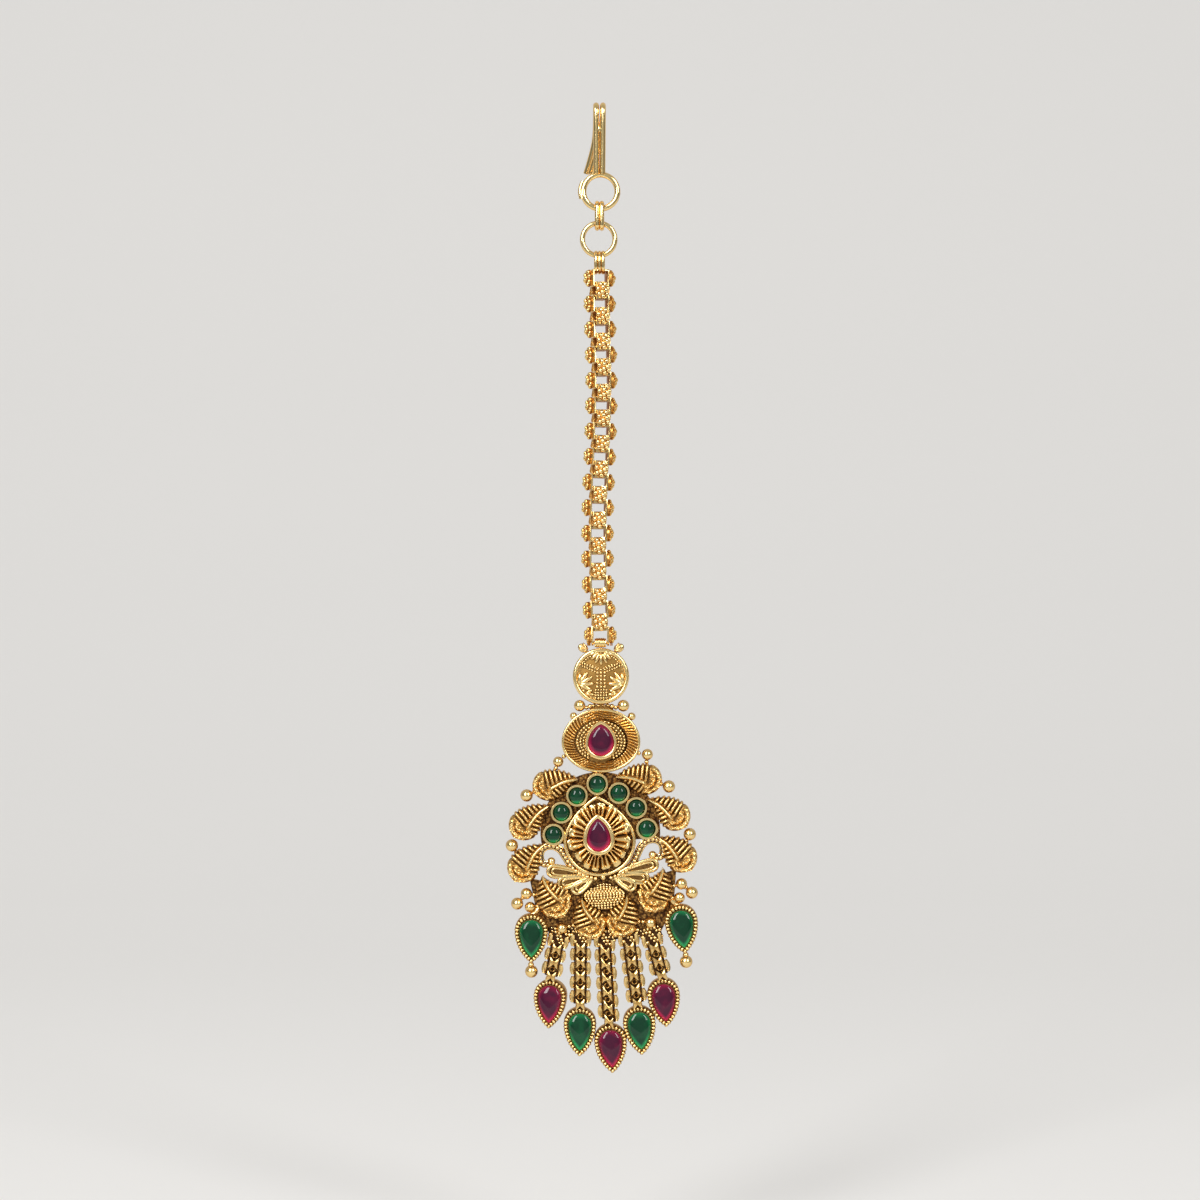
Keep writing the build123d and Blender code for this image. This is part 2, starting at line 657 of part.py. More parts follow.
def basket():
    """A half-round basket at the foot of the frame, in three rings of flats."""
    half_w, half_h = BASKET["width"] / 2, BASKET["height"] / 2
    faces = []
    for height, share in BASKET_RINGS:
        outline = []
        for i in range(BASKET_SIDES):
            angle = 2 * math.pi * (i + 0.5) / BASKET_SIDES
            outline.append((half_w * share * math.cos(angle), half_h * share * math.sin(angle)))
        faces.append(Pos(0, 0, height) * Polygon(*outline, align=None))
    return Pos(BASKET["x"], BASKET["y"], 0) * loft(faces, ruled=True)


def mirrored(part):
    return mirror(part, about=Plane.YZ)


def fringe_link():
    return box_link(FRINGE_WIDTH, FRINGE_HEIGHT, FRINGE_BAND, FRINGE_WALL, FRINGE_THICK)


def fringe_location(row, index):
    """Where one link of a fringe chain is; link 0 is the plaque's own lug."""
    lug_x, lug_z, _, lean, turn, _, _ = row
    along = FRINGE_PITCH * index
    x = lug_x + along * math.sin(math.radians(lean))
    z = lug_z - along * math.cos(math.radians(lean))
    return link_location(x, z, lean, turn + 90 * (index % 2))


def make_main_plaque():
    """The soldered casting: sheet, flower, settings, leaves, scrolls, balls and lugs."""
    half = make_half()
    parts = [mirrored(half), make_flower(), basket(), ball(0, -6.12, 0.47, 0.1), eyelet(7.4)]
    for x, y in ROUND_STONES:
        parts.append(disc(x, y, ROUND_SETTING, SHEET_BACK, ROUND_LIP))
    for x, y, size in CROWN_BALLS:
        parts.append(ball(x, y, size, -0.2))
        parts.append(tab(x, y, (math.copysign(7.4, x), 8.7), 2.4))
    solid = half + parts
    for x, y in ROUND_STONES:
        solid -= disc(x, y, ROUND_STONE + SEAT_CLEAR, ROUND_SEAT, ROUND_LIP + 2)
    stand = place(PLAQUE["x"], PLAQUE["z"], PLAQUE["turn"])
    # The lugs' upper bars are let into the skirt's lower edge
    lugs = []
    for row in FRINGE:
        here = fringe_location(row, 0)
        lugs.append(here * fringe_link())
        lugs.append(here * Pos(0, 0.35, 1.35) * Box(FRINGE_WIDTH, 1.1, 1.5))
    return stand * solid + lugs


def make_joining_ring(x, upper_z, lower_z):
    """A plain hidden ring behind two plaques, through an eyelet of each."""
    wire, width = 0.40, 2.0
    corner = 0.7
    outline = Plane.XZ * RectangleRounded(width, upper_z - lower_z, corner)
    path = outline.wires()[0]
    section = Plane(origin=path @ 0, z_dir=path % 0) * Circle(wire / 2)
    ring = sweep(section, path=path)
    return Pos(x, -SHEET_BACK + 0.35 - FORWARD, (upper_z + lower_z) / 2) * ring


# --- Drops -------------------------------------------------------------------------

def drop_location(row):
    """Where a drop's setting is, point down, below its chain."""
    links = row[2]
    lug = fringe_location(row, links + 1).position
    lean, turn = row[5], row[6]
    down = DROP_HANG + DROP_PEAR[1] / 2
    x = lug.X + down * math.sin(math.radians(lean))
    z = lug.Z - down * math.cos(math.radians(lean))
    return Pos(x, 0, z) * Rot(0, -lean, 0) * Rot(0, 0, turn) * Plane.XZ.location * Rot(0, 0, 180)


def make_drop_setting(row):
    """A pear cup with a lug that takes the chain's last link."""
    cup = drop_location(row) * pear_setting(DROP_PEAR, DROP_BACK, DROP_LIP)
    lug = fringe_location(row, row[2] + 1) * fringe_link()
    neck = fringe_location(row, row[2] + 1) * Pos(0, 0, -0.85) * Box(2.1, FRINGE_BAND, 0.7)
    hollow_w, hollow_l = DROP_PEAR[2] + 2 * SEAT_CLEAR, DROP_PEAR[3] + 2.8 * SEAT_CLEAR
    hollow = drop_location(row) * slab(pear_face(hollow_w, hollow_l), DROP_LIP - 1.55, 6)
    return cup + [lug, neck] - hollow


def make_drop_stone(row):
    return drop_location(row) * cut_pear(DROP_PEAR[2], DROP_PEAR[3], pear_girdle(DROP_LIP))


def make_fringe_chain(row):
    links = [fringe_location(row, i + 1) * fringe_link() for i in range(row[2])]
    return Compound(links)


# Heights of the settings' lips and seats, and of the leaves' edges
UPPER_LIP = 1.00
CENTRE_LIP = 1.55
SIDE_LIP = 1.10
DROP_LIP = 0.95
DROP_BACK = -1.15
ROUND_LIP = 0.75
ROUND_SEAT = -0.15
LEAF_BASE = 0.05


def make_all():
    """Every piece of the jewel by its name."""
    places = chain_places()
    pin = swivel_centre(places)
    pieces = {
        "hook": make_hook(),
        "connector_link": make_connector(),
        "middle_ring": standing_ring(RING_2),
        "strap_link": make_strap(),
        "main_chain": make_main_chain(places),
        "swivel_link": make_swivel_link(places),
        "disc_plaque": make_disc_plaque(pin),
        "oval_plaque": make_oval_plaque(),
        "main_plaque": make_main_plaque(),
    }
    disc_eye = DISC["z"] - DISC["radius"] + 0.95
    oval_eyes = (OVAL["z"] + OVAL["top"] - 1.1, OVAL["z"] - OVAL["bottom"] + 1.35)
    plaque_eye = PLAQUE["z"] + 7.4 * math.cos(math.radians(PLAQUE["turn"]))
    pieces["upper_joining_ring"] = make_joining_ring(DISC["x"], disc_eye - 0.2, oval_eyes[0] + 0.2)
    pieces["lower_joining_ring"] = make_joining_ring(OVAL["x"] - 0.2, oval_eyes[1] - 0.2, plaque_eye + 0.2)

    stand = place(PLAQUE["x"], PLAQUE["z"], PLAQUE["turn"])
    upper = cut_pear(UPPER_PEAR[2], UPPER_PEAR[3], pear_girdle(UPPER_LIP))
    pieces["upper_ruby"] = place(OVAL["x"], OVAL["z"]) * Pos(0, 0.35, 0) * upper
    centre = cut_pear(CENTRE_PEAR[2], CENTRE_PEAR[3], pear_girdle(CENTRE_LIP))
    pieces["centre_ruby"] = stand * Pos(-0.2, 0.62, 0) * centre
    for i, (x, y) in enumerate(ROUND_STONES):
        stone = cabochon(ROUND_STONE, ROUND_SEAT + SEAT_CLEAR)
        pieces[f"round_emerald_{i + 1}"] = stand * Pos(x, y, 0) * stone
    side = cut_pear(SIDE_PEAR[2], SIDE_PEAR[3], pear_girdle(SIDE_LIP))
    x, y, turn = SIDE_SETTING["x"], SIDE_SETTING["y"], SIDE_SETTING["turn"]
    pieces["side_emerald_right"] = stand * Pos(x, y, 0) * Rot(0, 0, 180 + turn) * side
    pieces["side_emerald_left"] = stand * Pos(-x, y, 0) * Rot(0, 0, 180 - turn) * side
    for i, row in enumerate(FRINGE):
        pieces[f"fringe_chain_{i + 1}"] = make_fringe_chain(row)
        pieces[f"drop_setting_{i + 1}"] = make_drop_setting(row)
        pieces[f"drop_stone_{i + 1}"] = make_drop_stone(row)
    return pieces


os.makedirs("parts", exist_ok=True)
for name, piece in make_all().items():
    export_step(piece, f"parts/{name}.step")
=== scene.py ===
import json
import math

import bmesh
import bpy
from mathutils import Matrix, Vector


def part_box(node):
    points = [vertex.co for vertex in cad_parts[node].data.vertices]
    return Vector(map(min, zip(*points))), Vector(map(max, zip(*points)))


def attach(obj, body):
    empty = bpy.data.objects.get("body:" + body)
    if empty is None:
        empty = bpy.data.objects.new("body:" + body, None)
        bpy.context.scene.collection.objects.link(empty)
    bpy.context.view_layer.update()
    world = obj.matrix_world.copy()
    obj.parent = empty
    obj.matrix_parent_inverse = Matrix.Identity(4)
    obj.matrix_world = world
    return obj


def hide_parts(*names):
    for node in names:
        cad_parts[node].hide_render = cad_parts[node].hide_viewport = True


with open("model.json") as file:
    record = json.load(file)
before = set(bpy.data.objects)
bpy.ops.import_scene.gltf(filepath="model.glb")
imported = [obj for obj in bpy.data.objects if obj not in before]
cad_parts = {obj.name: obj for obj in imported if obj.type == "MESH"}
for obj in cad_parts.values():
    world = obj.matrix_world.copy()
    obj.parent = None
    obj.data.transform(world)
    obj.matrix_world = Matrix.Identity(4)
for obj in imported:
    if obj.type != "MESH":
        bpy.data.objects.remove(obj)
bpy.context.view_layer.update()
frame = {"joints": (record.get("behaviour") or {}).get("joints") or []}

# ------------------------------------------------
# The hook: two hard gold wires laid side by side, bent over at the top and splayed
# behind, and soldered to a wire ring whose cut end lies along its left side. Sizes
# are in millimetres, and finish_piece() turns them into metres.
MM = 0.001
# Faces turned this way, towards the viewer, are painted pale as a highlight
TOWARDS_VIEWER = Vector((0, -1, 0))
finishes = {}               # the material of each slot


def new_metal():
    """An empty mesh with the layer that says how pale its surface is: 0 deep, 1 bright. Its values stand for
    wearing and patina, and also for painted highlights and painted shade.
    """
    bm = bmesh.new()
    bm.verts.layers.float.new("wear_and_shade")
    return bm


def rub_and_shade(bm, verts, low=0.25, high=1.0, towards=Vector((0, 0, 1))):
    """Paint pale the side of the vertices that faces the given direction (up, out of a plaque, or towards the
    viewer) and darker the rest: a painted highlight and painted shade, which also stand for wearing on outer
    faces.
    """
    bm.normal_update()
    layer = bm.verts.layers.float["wear_and_shade"]
    for vert in verts:
        facing = max(0.0, vert.normal.dot(towards))
        vert[layer] = low + (high - low) * facing


def pattern_mesh(bm):
    """Keep a part as a mesh that stamp() copies."""
    bmesh.ops.recalc_face_normals(bm, faces=bm.faces)
    mesh = bpy.data.meshes.new("pattern")
    bm.to_mesh(mesh)
    bm.free()
    return mesh


def add_object(name, data):
    """Put a mesh, a curve, a light or a camera into the scene."""
    made = bpy.data.objects.new(name, data)
    bpy.context.scene.collection.objects.link(made)
    return made


def placed(place, size):
    """The matrix that gives a unit shape its size and its place."""
    return Matrix.Translation(place) @ Matrix.Diagonal((*size, 1))


def spin(degrees, axis):
    return Matrix.Rotation(math.radians(degrees), 4, axis)


def add_block(bm, matrix):
    return bmesh.ops.create_cube(bm, size=1.0, matrix=matrix)["verts"]


def fill_holes(bm):
    bmesh.ops.holes_fill(bm, edges=[edge for edge in bm.edges if edge.is_boundary])


def stamp(bm, pattern, matrix=Matrix.Identity(4)):
    copy = pattern.copy()
    copy.transform(matrix)
    bm.from_mesh(copy)
    bpy.data.meshes.remove(copy)


def add_sphere(bm, sides, rings, radius, matrix=Matrix.Identity(4)):
    return bmesh.ops.create_uvsphere(bm, u_segments=sides, v_segments=rings, radius=radius,
                                     matrix=matrix)["verts"]


def add_ball(bm, place, radius, sides, low):
    """A grain of gold, painted pale on the side that faces up in its own frame and darker towards its foot: a
    painted highlight, and painted shade where it meets what it stands on.
    """
    layer = bm.verts.layers.float["wear_and_shade"]
    for vert in add_sphere(bm, sides, max(6, sides * 2 // 3), radius, Matrix.Translation(place)):
        up = (vert.co.z - place[2]) / radius
        vert[layer] = low + (1 - low) * max(0.0, up) ** 0.7


def add_wire(bm, points, radius, closed=False, low=0.3, sides=4, smooth=8):
    """A round wire through a few points, as a smooth curve turned into mesh."""
    curve = bpy.data.curves.new("wire", "CURVE")
    curve.dimensions = "3D"
    curve.bevel_depth = radius
    curve.bevel_resolution = sides - 2
    curve.use_fill_caps = not closed
    spline = curve.splines.new("NURBS")
    spline.points.add(len(points) - 1)
    for point, place in zip(spline.points, points):
        point.co = (*place, 1.0)
    spline.use_cyclic_u = closed
    spline.use_endpoint_u = not closed
    spline.order_u = 3
    spline.resolution_u = smooth
    drawn = add_object("wire", curve)
    mesh = bpy.data.meshes.new_from_object(drawn.evaluated_get(bpy.context.evaluated_depsgraph_get()))
    wire = new_metal()
    wire.from_mesh(mesh)
    bpy.data.objects.remove(drawn)
    bpy.data.curves.remove(curve)
    bpy.data.meshes.remove(mesh)
    bmesh.ops.remove_doubles(wire, verts=wire.verts, dist=0.001)
    bmesh.ops.recalc_face_normals(wire, faces=wire.faces)
    # The side of the wire that faces up in its own frame is painted pale and its underside darker: painted
    # highlight and painted shade
    rub_and_shade(wire, wire.verts, low)
    stamp(bm, pattern_mesh(wire))


def finish_piece(bm, name, body, slot, node, material=None, sharp=45.0):
    """Turn the finished mesh into a piece of the jewel that rides on its body."""
    bmesh.ops.recalc_face_normals(bm, faces=bm.faces)
    bm.transform(Matrix.Scale(MM, 4))
    mesh = bpy.data.meshes.new(name)
    bm.to_mesh(mesh)
    bm.free()
    mesh.shade_smooth()
    mesh.set_sharp_from_angle(angle=math.radians(sharp))
    mesh.materials.append(material or finishes[slot])
    piece = add_object(name, mesh)
    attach(piece, body)
    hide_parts(node)


class Value:
    """A number that varies over a surface; Python's operators add its Math nodes."""

    def __init__(self, finish, socket):
        self.finish = finish
        self.socket = socket

    def maths(self, operation, first, second):
        return self.finish.node("ShaderNodeMath", {"operation": operation}, {0: first, 1: second})

    def __add__(self, other):
        return self.maths("ADD", self, other)

    __radd__ = __add__

    def __mul__(self, other):
        return self.maths("MULTIPLY", self, other)

    __rmul__ = __mul__

    def __sub__(self, other):
        return self.maths("SUBTRACT", self, other)

    def __rsub__(self, other):
        return self.maths("SUBTRACT", other, self)


class Finish:
    """A material or the world, and the one way in which nodes are added to it."""

    def __init__(self, material, surface="Principled BSDF"):
        self.material = material
        self.material.use_nodes = True
        self.tree = self.material.node_tree
        self.surface = self.tree.nodes[surface]

    def node(self, kind, settings=None, sockets=None, output=0):
        """Add a node: first its settings, then the values or links of its sockets."""
        added = self.tree.nodes.new(kind)
        for key, value in (settings or {}).items():
            setattr(added, key, value)
        for key, value in (sockets or {}).items():
            self.feed(added.inputs[key], value)
        return Value(self, added.outputs[output])

    def feed(self, socket, value):
        if isinstance(value, Value):
            self.tree.links.new(value.socket, socket)
        else:
            socket.default_value = value

    def set(self, **sockets):
        """Feed the surface shader's sockets, named with underscores for spaces."""
        for key, value in sockets.items():
            self.feed(self.surface.inputs[key.replace("_", " ")], value)

    def blend(self, factor, first, second):
        """A colour between two others."""
        return self.node("ShaderNodeMix", {"data_type": "RGBA"}, {0: factor, 6: first, 7: second}, output=2)

    def grain(self, scale, detail=2.0, rough=0.5):
        """Noise fixed to the piece; scale is in grains to the millimetre."""
        place = self.node("ShaderNodeTexCoord", output=3)
        return self.node("ShaderNodeTexNoise", {}, {"Vector": place, "Scale": scale / MM,
                                                    "Detail": detail, "Roughness": rough})

    def bump(self, height, strength, depth):
        return self.node("ShaderNodeBump", {}, {"Height": height, "Strength": strength,
                                                "Distance": depth * MM})


# Tones of polished gold: bright for crests and painted highlights, deep for hollows and painted shade
POLISHED_BRIGHT = (1.0, 0.79, 0.38, 1)
POLISHED_MIDDLE = (0.92, 0.54, 0.14, 1)
POLISHED_DEEP = (0.36, 0.11, 0.010, 1)


def gold_finish(name, bright, middle, deep, rough, has_wear_and_shade=True, pitted=0.25, grained=False):
    """Gold plate: where the layer is high, on crests polished by wearing and where highlights are painted, it
    is pale and smooth; where it is low, in hollows with their patina and where shade is painted, it is dark
    and dull.
    """
    gold = Finish(bpy.data.materials.new(name))
    cloud = gold.grain(0.35, 3.0)
    speck = gold.grain(2.4, 3.0, 0.6)
    if grained:
        place = gold.node("ShaderNodeTexCoord", output=3)
        speck = 1.15 - gold.node("ShaderNodeTexVoronoi", {}, {"Vector": place, "Scale": 2.5 / MM}) * 1.5
    if has_wear_and_shade:
        wear_and_shade_level = gold.node("ShaderNodeAttribute", {"attribute_name": "wear_and_shade"}, output=2)
    else:
        wear_and_shade_level = 0.55 + cloud * 0.5
    worn_and_shaded = gold.node("ShaderNodeMath", {"operation": "ADD", "use_clamp": True},
                     {0: wear_and_shade_level, 1: (speck - 0.5) * (0.75 if grained else 0.35)})
    low = gold.node("ShaderNodeMapRange", {}, {0: worn_and_shaded, 1: 0.0, 2: 0.5})
    high = gold.node("ShaderNodeMapRange", {}, {0: worn_and_shaded, 1: 0.45, 2: 1.0})
    colour = gold.blend(high, gold.blend(low, deep, middle), bright)
    gold.set(Base_Color=colour,
             Metallic=0.80 + low * 0.20,
             Roughness=rough + 0.28 - low * 0.22 - high * 0.06 + (cloud - 0.5) * 0.10,
             Normal=gold.bump(speck, pitted, 0.04 * pitted + 0.01))
    return gold.material


finishes["polished_gold"] = gold_finish("polished_gold", POLISHED_BRIGHT, POLISHED_MIDDLE, POLISHED_DEEP,
                                        0.16)

HOOK_WIRE = 0.46            # the wire's radius
HOOK_SIDE = 0.53            # from the middle to each wire
HOOK_BEND = 1.25
HOOK_FOOT = -9.4            # where the wires meet the ring
HOOK_TAIL = (-1.75, 3.30, -8.85)
RING_WIRE = 0.46
RING_CUT_END = 0.36
RING_RADIUS = 2.66
RING_CENTRE = (0.14, -12.10)


def ring_points(x, z, radius, start=0.0, turn=360.0, count=24):
    """Points round a ring that faces the viewer, anticlockwise from the right."""
    points = []
    steps = count if turn == 360.0 else count - 1
    for i in range(count):
        angle = math.radians(start + turn * i / steps)
        points.append((x + radius * math.cos(angle), 0.0, z + radius * math.sin(angle)))
    return points


hook = new_metal()
tail_x, tail_y, tail_z = HOOK_TAIL
for side in (-HOOK_SIDE, HOOK_SIDE):
    bend = []
    for step in range(9):
        angle = math.pi * step / 8
        bend.append((side, -HOOK_BEND * math.cos(angle), HOOK_BEND * math.sin(angle) * 1.03))
    foot = [(side * 0.86, -0.30, HOOK_FOOT), (side * 0.93, -0.75, HOOK_FOOT / 2)]
    back = [(side * 0.8 - 0.15, HOOK_BEND + 0.45, tail_z * 0.3),
            (side * 0.7 + tail_x * 0.30, (HOOK_BEND + tail_y) / 2, tail_z * 0.58),
            (side * 0.6 + tail_x, tail_y, tail_z)]
    add_wire(hook, foot + bend + back, HOOK_WIRE, sides=6)
add_wire(hook, ring_points(*RING_CENTRE, RING_RADIUS), RING_WIRE, closed=True, sides=6)
add_wire(hook, ring_points(*RING_CENTRE, RING_RADIUS + RING_WIRE, 150, 50, 6), RING_CUT_END, sides=6)
# A drop of solder joins the wires in front and behind
for place in ((0, -1.05, -2.5), (tail_x * 0.93, tail_y - 0.2, tail_z + 0.6)):
    rub_and_shade(hook, add_sphere(hook, 12, 8, 0.42, placed(place, (1, 0.6, 1.3))), 0.5)
# The wires' fronts, facing the viewer, are painted pale as a highlight, and their backs darker as shade
rub_and_shade(hook, hook.verts, 0.45, 1.0, TOWARDS_VIEWER)
finish_piece(hook, "hook_wires", "hanger", "polished_gold", "hook")

# ------------------------------------------------
# Three links join the hook to the chain: a doubled oblong link on edge, a wire ring
# facing the viewer, and a narrow grooved band. Each hangs loose in the next.
LINK_WIRE = 0.38
STRAP_WALL = 0.30
OVER = 1.03                 # a wire's control points lie this much outside its line


def oblong_link(node, name, thick, wires):
    """Wires side by side, all bent to one oblong that stands on edge in the node's box."""
    low, high = (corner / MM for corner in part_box(node))
    middle = (low + high) / 2
    half_height = (high.z - low.z) / 2 - thick
    half_depth = (high.y - low.y) / 2 - thick
    link = new_metal()
    for side, radius in wires:
        loop = []
        for step in range(16):
            angle = math.tau * step / 16
            rise = math.copysign(half_height - half_depth, math.sin(angle))
            loop.append((middle.x + side, middle.y + half_depth * OVER * math.cos(angle),
                         middle.z + rise + half_depth * OVER * math.sin(angle)))
        add_wire(link, loop, radius, closed=True, sides=6)
    # The fronts, facing the viewer, are painted pale as a highlight, and the backs darker as shade
    rub_and_shade(link, link.verts, 0.35, 1.0, TOWARDS_VIEWER)
    finish_piece(link, name, "hanger", "polished_gold", node)


oblong_link("connector_link", "doubled_link", LINK_WIRE, [(-0.35, LINK_WIRE), (0.35, LINK_WIRE)])
low, high = (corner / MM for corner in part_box("middle_ring"))
ring_wire = (high.y - low.y) / 2
ring_radius = (high.x - low.x) / 2 - ring_wire
middle_ring = new_metal()
add_wire(middle_ring, ring_points((low.x + high.x) / 2, (low.z + high.z) / 2, ring_radius),
         ring_wire, closed=True, sides=6)
# Its front, facing the viewer, is painted pale as a highlight, and its back darker as shade
rub_and_shade(middle_ring, middle_ring.verts, 0.4, 1.0, TOWARDS_VIEWER)
finish_piece(middle_ring, "wire_ring", "hanger", "polished_gold", "middle_ring")
oblong_link("strap_link", "grooved_strap", STRAP_WALL, [(-0.55, 0.29), (0.0, 0.27), (0.55, 0.29)])

# ------------------------------------------------
# The chain: box links of flat band, each turned a quarter from the last. Both walls
# of each link carry a flower cap, a little cup heaped with grains. The lowest link
# has a round pin for its bottom bar, and the pendant's bail turns on that.
LINK_PITCH = 1.975
LINK_THICK = 0.30
LINK_WIDTH = 2.74
LINK_BAND = 1.90
LINK_HEIGHT = 2.705
LINK_SOFTEN = 0.07
FIRST_LINK = (0.0, -25.56)
LINK_COUNT = 29             # the last is the one with the pin
CHAIN_COURSE = [
    # link, lean, twist in degrees
    (0, 0.3, 17.0),
    (6, 1.9, 16.0),
    (10, -1.2, 14.5),
    (15, -2.6, 12.0),
    (20, -0.4, 9.5),
    (24, 1.8, 7.5),
    (28, 3.2, 5.5),
]
CAP_SINK = 0.02             # how far a cap is let into its wall
PIN_RADIUS = 0.25
PIN_DROP = 0.70             # how much taller the last link is


def box_loop(bm, height):
    """A band bent into a box with its hole along Y; its edges are rounded over."""
    verts = set(add_block(bm, Matrix.Diagonal((LINK_WIDTH, LINK_BAND, height, 1))))
    bm.normal_update()
    ends = [face for face in bm.faces if verts.issuperset(face.verts) and abs(face.normal.y) > 0.9]
    bmesh.ops.inset_individual(bm, faces=ends, thickness=LINK_THICK, use_even_offset=True)
    for face in ends:
        verts.update(face.verts)
    edges = [edge for face in ends for edge in face.edges]
    bmesh.ops.delete(bm, geom=ends, context="FACES_ONLY")
    bmesh.ops.bridge_loops(bm, edges=edges)
    edges = [edge for edge in bm.edges if verts.issuperset(edge.verts)]
    sharp = [edge for edge in edges if len(edge.link_faces) == 2 and edge.calc_face_angle() > 0.5]
    bmesh.ops.bevel(bm, geom=sharp, offset=LINK_SOFTEN, segments=2, profile=0.5, affect="EDGES",
                    material=-1, clamp_overlap=True)


def hanging(x, z, lean, length):
    """Where a length ends that hangs from x, z and leans to the right by some degrees."""
    return x + length * math.sin(math.radians(lean)), z - length * math.cos(math.radians(lean))


def chain_places():
    """Centre, lean and twist of each link of the chain."""
    x, z = FIRST_LINK
    places = []
    for link in range(LINK_COUNT):
        for (i0, lean0, twist0), (i1, lean1, twist1) in zip(CHAIN_COURSE, CHAIN_COURSE[1:]):
            if i0 <= link <= i1:
                share = (link - i0) / (i1 - i0)
                lean = lean0 + share * (lean1 - lean0)
                twist = twist0 + share * (twist1 - twist0)
        if places:
            x, z = hanging(x, z, (lean + places[-1][2]) / 2, LINK_PITCH)
        places.append((x, z, lean, twist))
    return places


def link_matrix(x, z, lean, turn):
    return Matrix.Translation((x, 0, z)) @ spin(-lean, "Y") @ spin(turn, "Z")


def grain_of_gold(low=0.0):
    """A grain of unit radius, for sow()."""
    grain = new_metal()
    add_ball(grain, Vector(), 1.0, 8, low)
    return pattern_mesh(grain)


def sow(bm, grain, radius, places):
    """Set a grain at each x, y, height."""
    for place in places:
        stamp(bm, grain, Matrix.Translation(place) @ Matrix.Scale(radius, 4))


def flower_cap():
    """A cup heaped with grains, standing on z = 0."""
    cap = new_metal()
    made = bmesh.ops.create_cone(cap, cap_ends=True, segments=20, radius1=1.05, radius2=1.18, depth=0.30,
                                 matrix=Matrix.Translation((0, 0, 0.15)))
    # The cup is painted a middle tone and the heap under the grains nearly black, as shade in the gaps
    # between them
    rub_and_shade(cap, made["verts"], 0.25, 0.5)
    rub_and_shade(cap, add_sphere(cap, 16, 8, 1.0, placed((0, 0, 0.25), (1, 1, 0.6))), 0.0, 0.1)
    for count, reach, height, start in ((7, 0.84, 0.45, 0.5), (3, 0.38, 0.83, 0.19)):
        for step in range(count):
            angle = math.tau * (step + start) / count
            place = Vector((reach * math.cos(angle), reach * math.sin(angle), height))
            add_ball(cap, place, 0.38, 12, 0.05)
    # A cap is longer along the chain than across it
    bmesh.ops.scale(cap, vec=(1.12, 0.95, 1), verts=cap.verts)
    return pattern_mesh(cap)


def add_caps(bm, cap, up=0.0):
    """A cap on a link's left wall and one on its right."""
    for side in (90, -90):
        stand = spin(side, "Y") @ Matrix.Translation((0, 0, LINK_WIDTH / 2 - CAP_SINK))
        stamp(bm, cap, Matrix.Translation((0, 0, up)) @ stand)


def chain_link(cap):
    link = new_metal()
    box_loop(link, LINK_HEIGHT)
    layer = link.verts.layers.float["wear_and_shade"]
    # The band's outer faces are pale, partly from wearing and partly a painted highlight; the inside of the
    # box is painted dark, as shade
    for vert in link.verts:
        outer = abs(vert.co.x) > LINK_WIDTH / 2 - 0.05 or abs(vert.co.y) > LINK_BAND / 2 - 0.06
        vert[layer] = 0.85 if outer else 0.12
    add_caps(link, cap)
    return pattern_mesh(link)


cap_pattern = flower_cap()
link_pattern = chain_link(cap_pattern)
places = chain_places()
chain = new_metal()
for index, (x, z, lean, twist) in enumerate(places[:-1]):
    stamp(chain, link_pattern, link_matrix(x, z, lean, twist + 90 * (index % 2)))
finish_piece(chain, "flower_chain", "hanger", "polished_gold", "main_chain")

last_x, last_z = places[-1][:2]
pin_z = last_z - LINK_HEIGHT / 2 + LINK_THICK / 2
swivel = new_metal()
box_loop(swivel, LINK_HEIGHT + PIN_DROP)
add_caps(swivel, cap_pattern, PIN_DROP / 2)
swivel.transform(Matrix.Translation((last_x, 0, last_z - PIN_DROP / 2)))
# Its lower bar is cut away, and the walls' feet are drawn in round the pin
geom = swivel.verts[:] + swivel.edges[:] + swivel.faces[:]
bmesh.ops.bisect_plane(swivel, geom=geom, plane_co=(0, 0, pin_z - 0.05), plane_no=(0, 0, -1),
                       clear_outer=True)
rims = [edge for edge in swivel.edges if edge.is_boundary]
for item in bmesh.ops.extrude_edge_only(swivel, edges=rims)["geom"]:
    if isinstance(item, bmesh.types.BMVert):
        item.co.z = pin_z - 0.44
        item.co.y *= 0.42
fill_holes(swivel)
layer = swivel.verts.layers.float["wear_and_shade"]
for vert in swivel.verts:
    if vert[layer] == 0.0:
        vert[layer] = 0.8
add_wire(swivel, [(last_x + across, 0, pin_z) for across in (-1.3, 0, 1.3)], PIN_RADIUS)
finish_piece(swivel, "swivel", "hanger", "polished_gold", "swivel_link")

# ------------------------------------------------
# The disc plaque: a stamped round of antique gold with a rim wire. Petals fan from
# the top, two beaded lines cross under them, and veined leaves fill the sides. Its
# bail is a short tube that turns on the chain's pin.
# Tones of antique gold: bright for crests and painted highlights, deep for patina in hollows and painted
# shade
ANTIQUE_BRIGHT = (1.0, 0.76, 0.34, 1)
ANTIQUE_MIDDLE = (0.66, 0.37, 0.10, 1)
ANTIQUE_DEEP = (0.055, 0.020, 0.005, 1)
FORWARD = 0.35                                  # from the chain's middle to height 0
SHEET_BACK = -1.30                              # the height of the plaques' flat backs
SAME_PLACE = 0.004
BACK_WEAR = 0.38
DISC_CENTRE = (0.23, -87.20)
DISC_RIM = (4.02, 0.36)                         # the wire's circle, and its own radius
DISC_GROUND = 4.05
CROWN_PETALS = (112, 133, 156, 180, 204, 227, 248)
